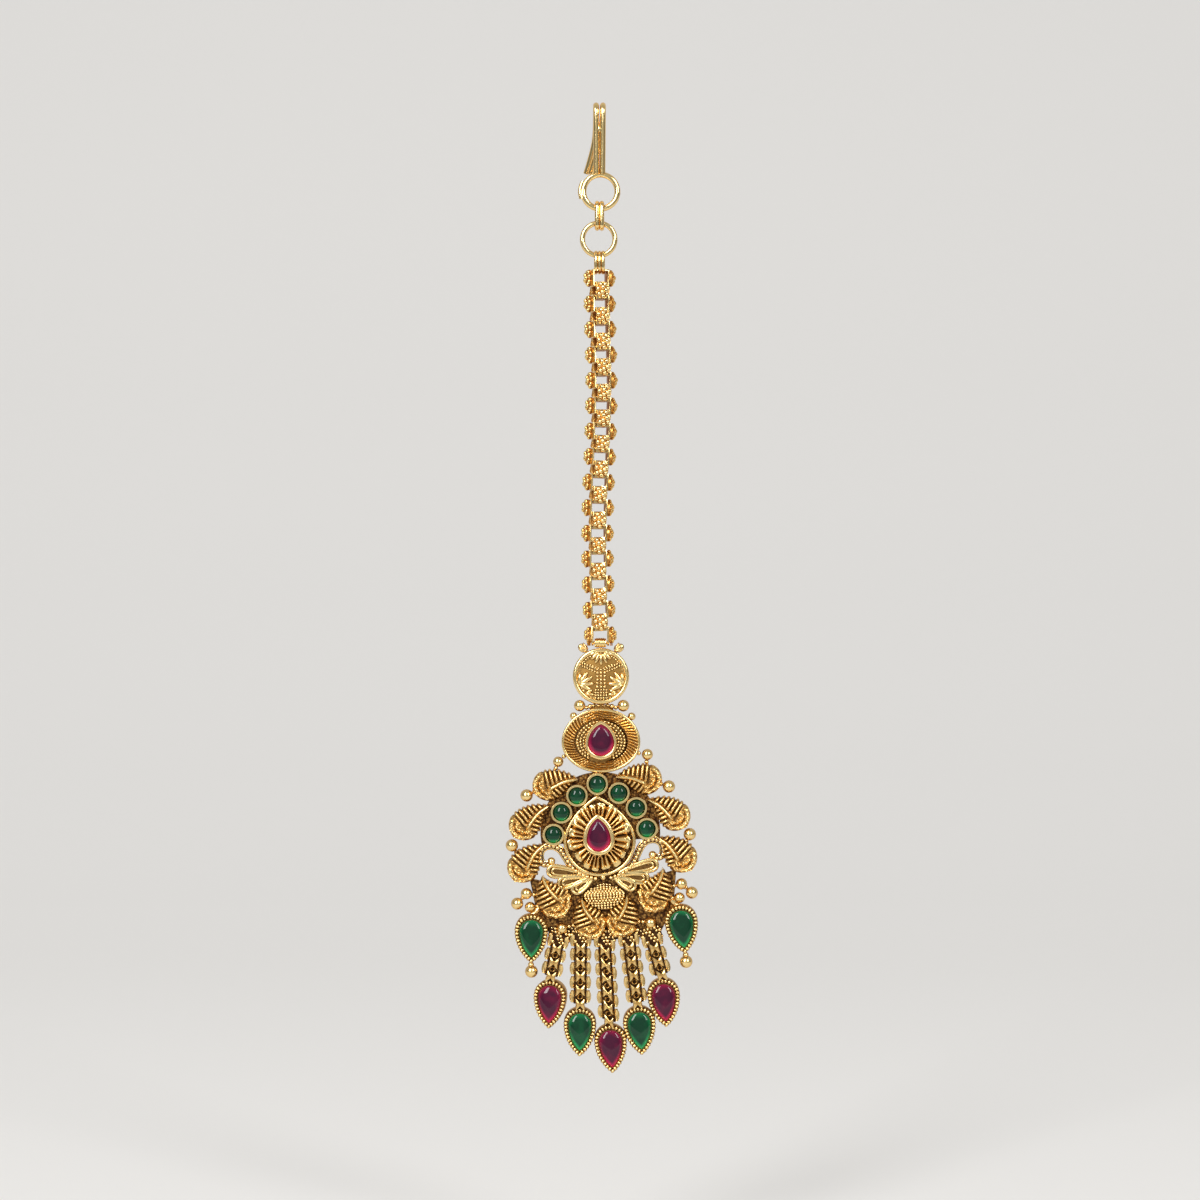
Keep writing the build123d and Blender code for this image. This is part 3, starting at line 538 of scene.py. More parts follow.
SIDE_PETALS = [
    # x and y of the root, height, angle, length, width, rise: the right-hand half
    (3.45, -1.30, 0.10, -8, 1.9, 0.74, 0.38),
    (3.45, -1.30, 0.10, -35, 2.5, 0.74, 0.38),
    (3.45, -1.30, 0.10, -60, 2.6, 0.74, 0.38),
    (3.45, -1.30, 0.10, -86, 2.5, 0.74, 0.38),
    (3.45, -1.30, 0.10, -112, 2.3, 0.74, 0.38),
    (2.55, -2.75, 0.05, -62, 1.5, 0.54, 0.36),
    (2.55, -2.75, 0.05, -92, 1.6, 0.54, 0.36),
    # the shell-shaped ear, and its three ridges
    (2.05, 3.90, -0.20, 58, 1.7, 1.35, 0.30),
    (2.05, 3.85, -0.05, 28, 1.55, 0.36, 0.30),
    (2.05, 3.85, -0.05, 50, 1.55, 0.36, 0.30),
    (2.05, 3.85, -0.05, 72, 1.55, 0.36, 0.30),
]
BEAD_LINES = [
    # x, y, height and radius of the first, x and y to the next, count: the right-hand half
    (3.25, 1.74, 0.14, 0.20, -0.38, -0.165, 8),
    (3.25, 2.22, 0.14, 0.20, -0.38, -0.165, 8),
    (1.65, 1.75, 0.12, 0.18, -0.42, -0.18, 5),
]
BEAD_COLUMNS = [
    # y of the top row, height, radius, pitch across and down, beads in a row, rows
    (0.55, 0.16, 0.27, 0.56, 0.54, 3, 5),
    (-2.12, 0.12, 0.20, 0.42, 0.42, 5, 4),
]
finishes["antique_gold"] = gold_finish("antique_gold", ANTIQUE_BRIGHT, ANTIQUE_MIDDLE, ANTIQUE_DEEP, 0.24)
plain_antique = gold_finish("plain_antique", ANTIQUE_MIDDLE, ANTIQUE_MIDDLE, ANTIQUE_DEEP, 0.30,
                            has_wear_and_shade=False)


def stand_up(x, z, turn=0.0):
    """Flat work is made lying down, x right, y up, z out; this stands it up."""
    return Matrix.Translation((x, -FORWARD, z)) @ spin(90, "X") @ spin(turn, "Z")


def relief(bm, columns, rows, shape, back=None):
    """A sheet raised from behind: shape(s, t) gives x, y, height and the level, pale to dark, of wearing,
    patina and painted shade for s and t from 0 to 1. With a back it is closed into a solid of that thickness."""
    verts = bmesh.ops.create_grid(bm, x_segments=columns, y_segments=rows, size=0.5)["verts"]
    layer = bm.verts.layers.float[0]
    for vert in verts:
        x, y, height, wear_and_shade_level = shape(vert.co.x + 0.5, vert.co.y + 0.5)
        vert.co = (x, y, height)
        vert[layer] = wear_and_shade_level
    bmesh.ops.remove_doubles(bm, verts=verts, dist=SAME_PLACE)
    if back is None:
        return
    inside = {vert for vert in verts if vert.is_valid}
    rim = [edge for edge in bm.edges if edge.is_boundary and inside.issuperset(edge.verts)]
    skirt = bmesh.ops.extrude_edge_only(bm, edges=rim)["geom"]
    for item in skirt:
        if isinstance(item, bmesh.types.BMVert):
            item.co.z = back
            item[layer] = BACK_WEAR
    edges = [item for item in skirt if isinstance(item, bmesh.types.BMEdge)]
    bmesh.ops.holes_fill(bm, edges=edges)


def bumpy(value):
    """A smooth ridge repeated once for each whole number."""
    return 0.5 + 0.5 * math.cos(math.tau * value)


def step_up(value, low, high):
    """0 below low, 1 above high, smooth between."""
    share = min(1.0, max(0.0, (value - low) / (high - low)))
    return share * share * (3 - 2 * share)


def near(value, width):
    """1 on a line, falling to 0 at its width."""
    return max(0.0, 1 - (value / width) ** 2) ** 2


def add_petal(bm, x, y, height, angle, length, width, rise=0.30):
    """A small raised petal from x, y outwards, at an angle in degrees from straight up."""
    heading = math.radians(angle)
    middle = (x + length / 2 * math.sin(heading), y + length / 2 * math.cos(heading), height)
    lie = Matrix.Translation(middle) @ Matrix.Rotation(-heading, 4, "Z")
    size = Matrix.Diagonal((width / 2, length / 2, rise, 1))
    rub_and_shade(bm, add_sphere(bm, 12, 8, 1.0, lie @ size), 0.15)


def round_point(s, radius=1.0):
    """A point on a circle, s going clockwise from the top."""
    return radius * math.sin(math.tau * s), radius * math.cos(math.tau * s)


def disc_relief(s, t):
    """The disc's ground: a low dome with a ring of short ridges inside the rim."""
    share = 1 - t
    tooling = bumpy(44 * s) * near(share - 0.89, 0.09)
    height = -0.16 + 0.30 * math.cos(share * math.pi / 2) + 0.12 * tooling
    return (*round_point(s, DISC_GROUND * share), height, 0.42 + 0.5 * tooling)


def add_loop_behind(bm, y):
    """A bent wire that stands out behind a plaque."""
    points = []
    for step in range(11):
        angle = math.pi * (1.05 * step / 10 - 1.025)
        points.append((0, y + 0.97 * math.cos(angle), SHEET_BACK + 0.97 * math.sin(angle)))
    add_wire(bm, points, 0.29, sides=5)


grain = grain_of_gold()
disc = new_metal()
relief(disc, 176, 16, disc_relief, SHEET_BACK + 0.3)
rim_radius, rim_wire = DISC_RIM
rim_points = [(x, z, 0.02) for x, _, z in ring_points(0, 0, rim_radius, count=32)]
add_wire(disc, rim_points, rim_wire, closed=True, low=0.7, sides=5)
for angle in CROWN_PETALS:
    x, y = 0.50 * math.sin(math.radians(angle)), 0.50 * math.cos(math.radians(angle))
    add_petal(disc, x, DISC_GROUND + y, 0.12, angle, 1.95 - 0.006 * abs(angle - 180), 0.62)
for side in (-1, 1):
    for x, y, height, angle, length, width, rise in SIDE_PETALS:
        add_petal(disc, side * x, y, height, side * angle, length, width, rise)
    for x, y, height, radius, right, up, count in BEAD_LINES:
        sow(disc, grain, radius, [(side * (x + right * step), y + up * step, height)
                                  for step in range(count)])
    shoulder = [0.5 + 0.12 * step for step in range(5)]
    sow(disc, grain, 0.19, [(side * 3.45 * math.sin(turn), 3.45 * math.cos(turn), 0.05) for turn in shoulder])
for top, height, radius, across, down, count, rows in BEAD_COLUMNS:
    for row in range(rows):
        sow(disc, grain, radius, [((column - (count - 1) / 2) * across, top - down * row, height)
                                  for column in range(count)])
add_loop_behind(disc, -3.35)
disc.transform(stand_up(*DISC_CENTRE))

# The bail: a tube round the pin, its outside grooved round the middle
pivot = Vector(frame["joints"][0]["pos_m"]) / MM
bail = new_metal()
bmesh.ops.create_grid(bail, x_segments=32, y_segments=1, size=0.5)
for vert in bail.verts:
    across = vert.co.x * 2
    groove = 0.10 * bumpy(2.5 * across) + 0.10 * abs(across) ** 4
    vert.co = (pivot.x + across * 0.88, 0, pivot.z + (0.80 - groove if vert.co.y > 0 else 0.37))
across_band = [edge for edge in bail.edges if not edge.is_boundary]
bmesh.ops.delete(bail, geom=across_band, context="EDGES")
bmesh.ops.spin(bail, geom=bail.verts[:] + bail.edges[:], cent=pivot, axis=(1, 0, 0),
               angle=math.tau, steps=28, use_merge=True)
bmesh.ops.recalc_face_normals(bail, faces=bail.faces)
# Its front, facing the viewer, is painted pale as a highlight, and its back darker as shade
rub_and_shade(bail, bail.verts, 0.45, 1.0, TOWARDS_VIEWER)
stamp(disc, pattern_mesh(bail))
finish_piece(disc, "leafy_disc", "pendant", "antique_gold", "disc_plaque")

# ------------------------------------------------
# The oval plaque: an egg-shaped dish with a rim wire. Slanting ribs run down into it,
# and a raised egg in the middle is covered with rows of grains round a pear setting.
OVAL_CENTRE = (0.23, -97.40)
OVAL_HALF_WIDTH = 6.075
OVAL_TOP = 5.20
OVAL_BOTTOM = 4.68
OVAL_EDGE = 0.965           # shares of the way from the middle to the outline
INNER_EGG = 0.655
OVAL_RIBS = 56
GRAIN_ROWS = [
    # share of the outline, count
    (0.605, 39),
    (0.525, 34),
    (0.445, 29),
    (0.365, 24),
]
OVAL_BALLS = [
    # x, y, radius
    (-3.30, 5.62, 0.90),
    (3.46, 5.62, 0.93),
    (-4.25, 4.02, 0.58),
    (4.75, 3.95, 0.62),
    (-5.75, -2.25, 0.34),
    (5.85, -1.75, 0.34),
]
GAP_GRAINS = [
    # x, y, radius: on the bar below the disc
    (-2.25, 5.30, 0.33),
    (-1.70, 5.50, 0.40),
    (-1.15, 5.62, 0.28),
    (-0.4, 5.62, 0.25),
    (0.4, 5.62, 0.25),
    (1.10, 5.62, 0.28),
    (1.70, 5.50, 0.42),
    (2.30, 5.32, 0.34),
]


def egg(angle, share):
    """A point on the outline, or on a smaller egg that is a share of it."""
    rise = OVAL_TOP if math.cos(angle) > 0 else OVAL_BOTTOM
    return share * OVAL_HALF_WIDTH * math.sin(angle), share * rise * math.cos(angle)


def oval_relief(s, t):
    """Slanting ribs to the left and right, fine waves above and below, a groove round the egg."""
    share = OVAL_EDGE * (1 - t)
    x, y = egg(math.tau * s, share)
    closed = step_up(-math.sin(math.tau * s), -0.60, -0.15)
    if share > INNER_EGG:
        out = (share - INNER_EGG) / (OVAL_EDGE - INNER_EGG)
        beside = step_up(abs(math.sin(math.tau * s)), 0.35, 0.75)
        rib = bumpy(OVAL_RIBS * s - 1.6 * out) ** 0.8
        waves = bumpy(4.2 * out + 0.22 * math.sin(26 * math.pi * s) + 0.22 * math.sin(16 * math.pi * s))
        tall = (rib * beside + 0.75 * waves * (1 - beside)) * step_up(out, 0.0, 0.06)
        tall *= step_up(-out, -1.0, -0.90)
        return x, y, -0.30 + 0.42 * out + 0.34 * tall + 0.26 * closed * (1 - out), 0.08 + 0.90 * tall
    # The groove round the egg is deep to the right and closed elsewhere
    rise = step_up(INNER_EGG - share, 0.015, 0.04)
    return x, y, -0.48 + 0.42 * closed + rise * (0.46 - 0.42 * closed), 0.02 + 0.22 * max(closed, rise)


def add_rim(bm, outline, radius, height, count=48):
    """A wire soldered along an outline: outline(s) gives x and y for s from 0 to 1."""
    points = [(*outline(i / count), height) for i in range(count)]
    add_wire(bm, points, radius, closed=True, low=0.5, sides=5, smooth=4)


def add_bright_ball(bm, x, y, radius, height, sides=16):
    """A ball that stands free at an edge, so it is pale nearly all over from wearing; the side turned away
    from its face is painted a little darker, as shade.
    """
    rub_and_shade(bm, add_sphere(bm, sides, sides * 2 // 3, radius, Matrix.Translation((x, y, height))), 0.35)


oval = new_metal()
relief(oval, 448, 44, oval_relief, SHEET_BACK + 0.3)
add_rim(oval, lambda s: egg(math.tau * s, 0.968), 0.23, 0.20)
for share, count in GRAIN_ROWS:
    places = [(*egg(math.tau * (step + 5 * share) / count, share), 0.10) for step in range(count)]
    sow(oval, grain, 0.235, [place for place in places if place[1] > -2.45])
for x, y, radius in OVAL_BALLS:
    add_bright_ball(oval, x, y, radius, -0.35)
# A bar fills the gap below the disc, with a row of grains along it
rub_and_shade(oval, add_block(oval, placed((0.1, 5.25, -0.75), (3.6, 1.1, 0.4))), 0.3, 0.5)
for x, y, radius in GAP_GRAINS:
    add_bright_ball(oval, x, y, radius, -0.45, sides=10)
add_loop_behind(oval, 4.10)
add_loop_behind(oval, -3.33)

# Two plain rings behind join the three plaques
for node in ("upper_joining_ring", "lower_joining_ring"):
    for slot in bpy.data.objects[node].material_slots:
        slot.material = plain_antique

# ------------------------------------------------
# The pear settings of the two rubies in the middle: a smooth collar of gold rubbed
# over the stone's edge. The stones are foiled glass with a low dome.
UPPER_PEAR = (4.95, 6.12, 3.86, 4.82)       # collar's width and length, then the stone's
CENTRE_PEAR = (4.96, 6.42, 3.50, 5.00)
UPPER_LIP = 1.00
CENTRE_LIP = 1.55
STONE_SINK = 0.30                           # from a collar's lip down to its stone's girdle


def pear_point(width, length, s):
    """A point on a pear with its tip up, s going clockwise from the tip."""
    radius = width / 2
    reach = length - radius
    side = (reach ** 2 + radius ** 2) / (2 * radius)
    middle = (reach - radius) / 2
    turn = math.atan2(reach, side - radius)
    flank = side * turn
    round_end = math.pi * radius
    along = s % 1.0 * (2 * flank + round_end)
    mirror = 1
    if along > flank + round_end / 2:
        along = 2 * flank + round_end - along
        mirror = -1
    if along < flank:
        angle = turn - along / side
        return mirror * (side * math.cos(angle) - side + radius), side * math.sin(angle) - middle
    angle = (along - flank) / radius
    return mirror * radius * math.cos(angle), -radius * math.sin(angle) - middle


def glass_finish(name, core, rim, rim_light):
    """Foiled glass: dark through the middle, with painted light towards the edge, where light leaves: the
    glow layer blends in a brighter colour and a faint emission.
    """
    glass = Finish(bpy.data.materials.new(name))
    glow = glass.node("ShaderNodeAttribute", {"attribute_name": "glow"}, output=2)
    cloud = glass.grain(0.55, 2.0)
    light = glass.node("ShaderNodeMath", {"operation": "ADD", "use_clamp": True},
                       {0: glow, 1: (cloud - 0.5) * 0.30})
    glass.set(Base_Color=glass.blend(light, core, rim), Roughness=0.05 + (cloud - 0.5) * 0.04,
              Emission_Color=glass.blend(light, (0, 0, 0, 1), rim_light), Emission_Strength=0.12,
              Metallic=0.0, IOR=1.5, Specular_IOR_Level=0.33)
    return glass.material


# The rim colours and the faint emission are painted light: the light that leaves a foiled stone at its edge
finishes["ruby_glass"] = glass_finish(
    "ruby_glass", (0.055, 0.006, 0.024, 1), (0.62, 0.01, 0.09, 1), (0.60, 0.01, 0.07, 1))
finishes["emerald_glass"] = glass_finish(
    "emerald_glass", (0.003, 0.036, 0.015, 1), (0.02, 0.42, 0.13, 1), (0.02, 0.46, 0.14, 1))


def add_moulding(bm, outline, profile, columns=72):
    """A ring round a stone. outline(share, s) runs from the foot to the stone, and the profile gives share,
    height and the level of wearing, patina and painted shade from the foot inwards."""
    def shape(s, t):
        share, height, wear_and_shade_level = profile[round(t * (len(profile) - 1))]
        return (*outline(share, s), height, wear_and_shade_level)

    relief(bm, columns, len(profile) - 1, shape)


def add_collar(bm, outline, lip, back, columns=72):
    """A smooth collar, rounded over at its lip."""
    add_moulding(bm, outline, [
        (0.0, back, 0.2), (0.0, lip - 0.35, 0.5), (0.05, lip - 0.14, 0.9), (0.18, lip - 0.03, 1.0),
        (0.50, lip, 1.0), (0.82, lip - 0.03, 1.0), (0.96, lip - 0.13, 0.9), (1.04, lip - 0.42, 0.2)], columns)


def pear_between(pear):
    """The outline at a share of the way from a setting's edge to its stone's."""
    width, length, stone_width, stone_length = pear

    def outline(share, s):
        return pear_point(width + share * (stone_width - width), length + share * (stone_length - length), s)

    return outline


def cut_pear(name, node, pear, lip, matrix, slot, up=1):
    """A pear-shaped stone with a low domed top, a girdle and a tapering back."""
    rows = [(0.34, -1.05), (1.0, -0.10), (1.0, 0.10), (0.94, 0.25), (0.84, 0.39), (0.70, 0.50),
            (0.52, 0.57), (0.30, 0.61), (0.0, 0.62)]
    width, length = pear[2] - 0.04, pear[3] - 0.06

    def shape(s, t):
        share, height = rows[round(t * (len(rows) - 1))]
        x, y = pear_point(width, length, s)
        # Painted light: the glow grows towards the girdle and is strongest on the stone's lower side, where
        # light from above leaves it
        low = -up * y / (length / 2)
        glow = step_up(share, 0.70, 1.0) * (0.24 + 0.62 * step_up(low, -0.1, 0.8))
        return x * share, y * share, lip - STONE_SINK + height, glow

    stone = bmesh.new()
    stone.verts.layers.float.new("glow")
    relief(stone, 48, len(rows) - 1, shape)
    fill_holes(stone)
    stone.transform(matrix)
    finish_piece(stone, name, "pendant", slot, node, sharp=35)


oval_stand = stand_up(*OVAL_CENTRE)
setting_at = Matrix.Translation((0, 0.35, 0))
collar = new_metal()
add_collar(collar, pear_between(UPPER_PEAR), UPPER_LIP, -0.6)
stamp(oval, pattern_mesh(collar), setting_at)
oval.transform(oval_stand)
finish_piece(oval, "ribbed_oval", "pendant", "antique_gold", "oval_plaque")
cut_pear("upper_stone", "upper_ruby", UPPER_PEAR, UPPER_LIP, oval_stand @ setting_at, "ruby_glass")

# ------------------------------------------------
# The main plaque's back sheet: one piece of rolled gold, matt and dark, that all of the plaque's work is
# soldered to: its own matt gold, darkened further as painted shade for the gaps between that work. A loop
# behind takes the ring from the oval plaque.
PLAQUE_CENTRE = (0.19, -112.27)
PLAQUE_TURN = 3.6
SHEET_FRONT = -0.60
FRAME_PEAR = (11.04, 12.40)
FRAME_UP = 0.37                     # the frame's middle above the plaque's
ARCH_RADIUS = 9.3
SKIRT = [(-2.2, -5.0), (-5.5, -7.2), (-11.4, -5.6), (-10.6, -11.4), (-8.3, -15.3),
         (0, -16.0), (8.3, -15.3), (10.6, -11.4), (11.4, -5.6), (5.5, -7.2), (2.2, -5.0)]
plaque_stand = stand_up(*PLAQUE_CENTRE, PLAQUE_TURN)


def both_halves(half):
    """The right-hand half of some work, and its mirror image to the left."""
    half = pattern_mesh(half)
    whole = new_metal()
    for matrix in (Matrix.Identity(4), Matrix.Diagonal((-1, 1, 1, 1))):
        stamp(whole, half, matrix)
    return whole


def finish_plaque_work(bm, name, sharp=45.0):
    """Stand up what is soldered to the plaque, and finish it."""
    bm.transform(plaque_stand)
    finish_piece(bm, name, "pendant", "antique_gold", "main_plaque", sharp=sharp)


def raise_plate(bm, face, front):
    """Give a flat face its thickness."""
    raised = bmesh.ops.extrude_face_region(bm, geom=[face])["geom"]
    for item in raised:
        if isinstance(item, bmesh.types.BMVert):
            item.co.z = front


# A matt gold whose middle tone is darkened, as painted shade between the plaque's work
matted_gold_in_shade = gold_finish("matted_gold_in_shade", (0.82, 0.54, 0.20, 1), (0.42, 0.22, 0.06, 1), ANTIQUE_DEEP, 0.30,
                          pitted=0.9, grained=True)
plate = new_metal()
bmesh.ops.create_circle(plate, cap_ends=True, segments=64, radius=ARCH_RADIUS,
                        matrix=Matrix.Translation((0, 0.9, SHEET_BACK)))
bmesh.ops.bisect_plane(plate, geom=plate.verts[:] + plate.edges[:] + plate.faces[:],
                       plane_co=(0, -0.6, 0), plane_no=(0, -1, 0), clear_outer=True)
bmesh.ops.holes_fill(plate, edges=[edge for edge in plate.edges if edge.is_wire or edge.is_boundary])
raise_plate(plate, plate.faces[:][0], SHEET_FRONT - 0.04)
skirt = plate.faces.new([plate.verts.new((x, y, SHEET_BACK)) for x, y in SKIRT])
raise_plate(plate, skirt, SHEET_FRONT)
heart = []
for step in range(48):
    x, y = pear_point(FRAME_PEAR[0] - 0.2, FRAME_PEAR[1] - 0.3, step / 48)
    heart.append(plate.verts.new((x, y + FRAME_UP, SHEET_BACK - 0.01)))
raise_plate(plate, plate.faces.new(heart), SHEET_FRONT - 0.02)
add_loop_behind(plate, 7.4)
plate.transform(plaque_stand)
# The front is dull and dark, painted shade for the gaps between the work on it, and the back, which lies
# against the hair, is pale all over from wearing
layer = plate.verts.layers.float["wear_and_shade"]
for vert in plate.verts:
    vert[layer] = 1.10 if vert.co.y > -FORWARD - SHEET_BACK - 0.1 else 0.26
finish_piece(plate, "back_sheet", "pendant", "antique_gold", "main_plaque", material=matted_gold_in_shade)

# ------------------------------------------------
# Seven round collars in an arch, each with a green glass cabochon.
ROUND_SETTING = 1.74
ROUND_STONE = 1.27
ROUND_LIP = 0.75
ROUND_STONES = [
    # x, y
    (-7.24, 1.04),
    (-5.81, 4.36),
    (-3.25, 6.82),
    (0.0, 8.40),
    (3.25, 6.82),
    (5.81, 4.36),
    (7.24, 1.04),
]


def round_outline(share, s):
    return round_point(s, ROUND_SETTING + share * (ROUND_STONE - ROUND_SETTING))


def round_stone(number, x, y):
    stone = bmesh.new()
    glow = stone.verts.layers.float.new("glow")
    for vert in add_sphere(stone, 32, 20, ROUND_STONE - 0.02):
        # Painted light on the stone's lower edge, where light from above leaves it
        low = -vert.co.y / ROUND_STONE
        vert[glow] = step_up(low, 0.45, 1.05) * 0.9
        vert.co.z = 0.27 + vert.co.z * (0.85 / ROUND_STONE) if vert.co.z > 0 else vert.co.z * 0.3 + 0.27
    stone.transform(plaque_stand @ Matrix.Translation((x, y, 0)))
    finish_piece(stone, f"green_cabochon_{number}", "pendant", "emerald_glass", f"round_emerald_{number}")


collar = new_metal()
add_collar(collar, round_outline, ROUND_LIP, -0.7, columns=48)
round_collar = pattern_mesh(collar)
arch_work = new_metal()
for number, (x, y) in enumerate(ROUND_STONES, start=1):
    stamp(arch_work, round_collar, Matrix.Translation((x, y, 0)))
    round_stone(number, x, y)

# ------------------------------------------------
# The frame: a pear-shaped wire round a ruffled flower, whose petals are doubled
# ridges like folded ribbon. A tall collar with a ruby stands in the middle.
FRAME_ASIDE = -0.2                  # the frame's middle is a little to the plaque's left
FRAME_HALF = 5.35
FRAME_TIP = 6.65
PETALS = 16


def frame_line(s):
    """The wire's middle: a half round below, flanks that draw in to a point above."""
    x, y = round_point(s)
    if y > 0:
        x = math.copysign(max(0.0, 1 - y ** 1.75) ** 0.84, x)
    return FRAME_ASIDE + FRAME_HALF * x, FRAME_UP - 0.68 + y * (FRAME_TIP if y > 0 else FRAME_HALF)


def flower_relief(s, t):
    """Each petal is a loop of folded ribbon, and the loops meet again at their feet."""
    out = 1 - t
    angle = math.tau * s
    turn = PETALS * s + 0.16 * math.sin(2 * angle) + 0.13 * math.sin(5 * angle + 1.0)
    across = turn % 1.0 - 0.5
    petal = math.floor(turn)
    scallop = 1 - 0.09 * step_up(abs(across), 0.22, 0.5) * out
    ruffle = scallop * (1 + 0.035 * math.sin(2.4 * petal))
    inner_x, inner_y = pear_point(3.6, 5.0, s)
    x = inner_x + out * (4.80 * ruffle * math.sin(angle) - inner_x)
    y = inner_y + out * (5.25 * ruffle * math.cos(angle) - inner_y)
    mouth = 0.72 + 0.07 * math.sin(1.9 * petal)
    if out > mouth:
        away = abs(math.hypot(across, out - mouth) - 0.23)
    elif out < 0.30:
        away = abs(math.hypot(0.5 - abs(across), (out - 0.30) * 1.1) - 0.23)
    else:
        away = abs(abs(across) - 0.23)
    fold = near(away, 0.26) ** 0.5
    # Towards the edge the folds run together into a full, ruffled lip
    lip = step_up(out, mouth, mouth + 0.14) * (1 - 0.55 * near(abs(across) - 0.5, 0.16))
    fold = max(fold, 0.92 * lip)
    height = -0.15 + 0.35 * step_up(1 - out, 0.0, 0.30) + 0.72 * fold + 0.14 * math.sin(2.4 * petal)
    return x + FRAME_ASIDE, y + FRAME_UP - 0.15, height, 0.01 + 0.95 * fold ** 1.3 * (0.60 + 0.40 * out)


frame_work = new_metal()
add_rim(frame_work, frame_line, 0.27, 0.28, count=120)
relief(frame_work, 400, 26, flower_relief, -0.55)
collar = new_metal()
add_collar(collar, pear_between(CENTRE_PEAR), CENTRE_LIP, -0.3)
centre_at = Matrix.Translation((-0.3, 0.25 + FRAME_UP, 0))
stamp(frame_work, pattern_mesh(collar), centre_at)
finish_plaque_work(frame_work, "flower_frame")
cut_pear("centre_stone", "centre_ruby", CENTRE_PEAR, CENTRE_LIP, plaque_stand @ centre_at, "ruby_glass")
finish_plaque_work(arch_work, "round_collars")

# ------------------------------------------------
# Ten paisley leaves, cast one by one: a round body, a horn that points at the flower,
# a bright midrib, and a comb of veins to each side with dark gaps between.
LEAF_BASE = 0.05
LEAF_COMB = 0.70                    # from one vein to the next
LEAVES = [
    # tip x, tip y, body x, body y, width, end: the right-hand half, the left mirrors it
    (2.91, 9.27, 7.42, 8.70, 4.9, 2.65),
    (7.67, 5.47, 11.44, 2.95, 5.0, 2.75),
    (8.87, -0.51, 12.07, -3.49, 5.1, 2.80),
    (9.27, -5.19, 7.83, -9.11, 5.5, 2.95),
    (3.46, -9.02, 2.57, -12.69, 5.2, 2.85),
]


def leaf_shape(reach, width, end):
    """The relief of a leaf whose tip is reach away; its full side is below, y < 0."""
    half = width / 2
    whole = reach + end

    def shape(s, t):
        x = -end + whole * (0.5 - 0.5 * math.cos(math.pi * s))
        side = 2 * t - 1
        u = max(0.0, x / reach)
        if x <= 0:
            full = hollow = half * math.sqrt(max(0.0, 1 - (x / end) ** 2))
        else:
            full = half * (1 - u * u) ** 0.8
            hollow = half * math.cos(math.pi * u / 2) ** 1.7
        spine = 0.75 * step_up(-x, -0.75 * reach, 1.4) - 0.16 * math.sin(math.pi * u)
        reach_out = full + spine if side < 0 else hollow - spine
        y = spine + side * max(0.0, reach_out)
        away = abs(y - spine)
        tilt = 0.05 if side < 0 else -0.60
        comb = min(1.0, 1.25 * bumpy((x + tilt * away) / LEAF_COMB + 0.15)) ** 0.7
        boss = step_up(-x, -0.10 * reach, 0.10 * end) if side > 0 else step_up(-x, 0.10 * end, 0.50 * end)
        rib = near(away, 0.55) ** 0.7 * step_up(x, -0.9, 0.3)
        ring = math.hypot(x * half / end, y)
        rim = near(ring - half * 0.86, 0.28) * step_up(-x, 0.0, 0.6)
        slot = near(ring - half * 0.66, 0.20) * step_up(-x, 0.0, 0.7)
        lumps = 0.5 + 0.5 * math.sin(5.2 * x + 1.9 * y + width) * math.sin(6.6 * y - 2.3 * x + 0.8)
        veins = comb * (1 - boss) * step_up(away, 0.25, 0.50)
        tall = max(rib, 0.85 * veins, 0.80 * rim, boss * (0.22 + 0.78 * lumps) * (1 - 0.85 * slot))
        gap = (1 - veins) * (1 - boss) * step_up(abs(side), 0.80, 1.0)
        y -= math.copysign(0.38, side) * gap * min(1.0, reach_out)
        dome = math.sqrt(max(0.0, 1 - abs(side) ** 2.6))
        height = LEAF_BASE - 0.14 + 0.50 * dome + (0.62 * tall + 0.14 * rib) * (0.45 + 0.55 * dome)
        return x, y, height, 0.02 + 0.96 * tall ** (1.6 - 0.8 * boss) * (0.75 + 0.25 * dome)

    return shape


half_leaves = new_metal()
for tip_x, tip_y, body_x, body_y, width, end in LEAVES:
    leaf = new_metal()
    reach = math.hypot(tip_x - body_x, tip_y - body_y)
    relief(leaf, 96, 44, leaf_shape(reach, width, end), SHEET_BACK + 0.15)
    angle = math.atan2(tip_y - body_y, tip_x - body_x)
    matrix = Matrix.Translation((body_x, body_y, 0)) @ Matrix.Rotation(angle, 4, "Z")
    stamp(half_leaves, pattern_mesh(leaf), matrix)
finish_plaque_work(both_halves(half_leaves), "paisley_leaves", sharp=60)

# ------------------------------------------------
# Two scrolls spring from the frame's foot, each a row of grains between two wires,
# and curl over at the end. Three leaf-shaped loops of doubled wire lie below each.
SCROLL = [(1.20, -6.20), (3.30, -5.60), (4.80, -4.30), (5.60, -2.70), (6.40, -1.20), (7.80, -0.60),
          (9.20, -0.95), (9.70, -2.30), (9.30, -3.60), (8.40, -3.75), (7.85, -3.10)]
LEAF_LOOPS = [
    # root x, root y, end x, end y, width
    (2.20, -5.60, 8.75, -4.45, 2.25),
    (2.00, -5.90, 7.20, -6.75, 2.20),
    (1.50, -6.10, 5.05, -8.05, 2.10),
]


def trace(corners, spacing):
    """Even steps along a curve that rounds off the corners: x, y and heading."""
    points = [Vector(corner) for corner in corners]
    for _ in range(3):
        cut = [points[0]]
        for start, end in zip(points, points[1:]):
            cut += [start.lerp(end, 0.25), start.lerp(end, 0.75)]
        points = cut + [points[-1]]
    steps = []
    left = 0.0
    for start, end in zip(points, points[1:]):
        run = (end - start).length
        while left < run:
            here = start.lerp(end, left / run)
            steps.append((here.x, here.y, math.atan2(end.y - start.y, end.x - start.x)))
            left += spacing
        left -= run
    return steps


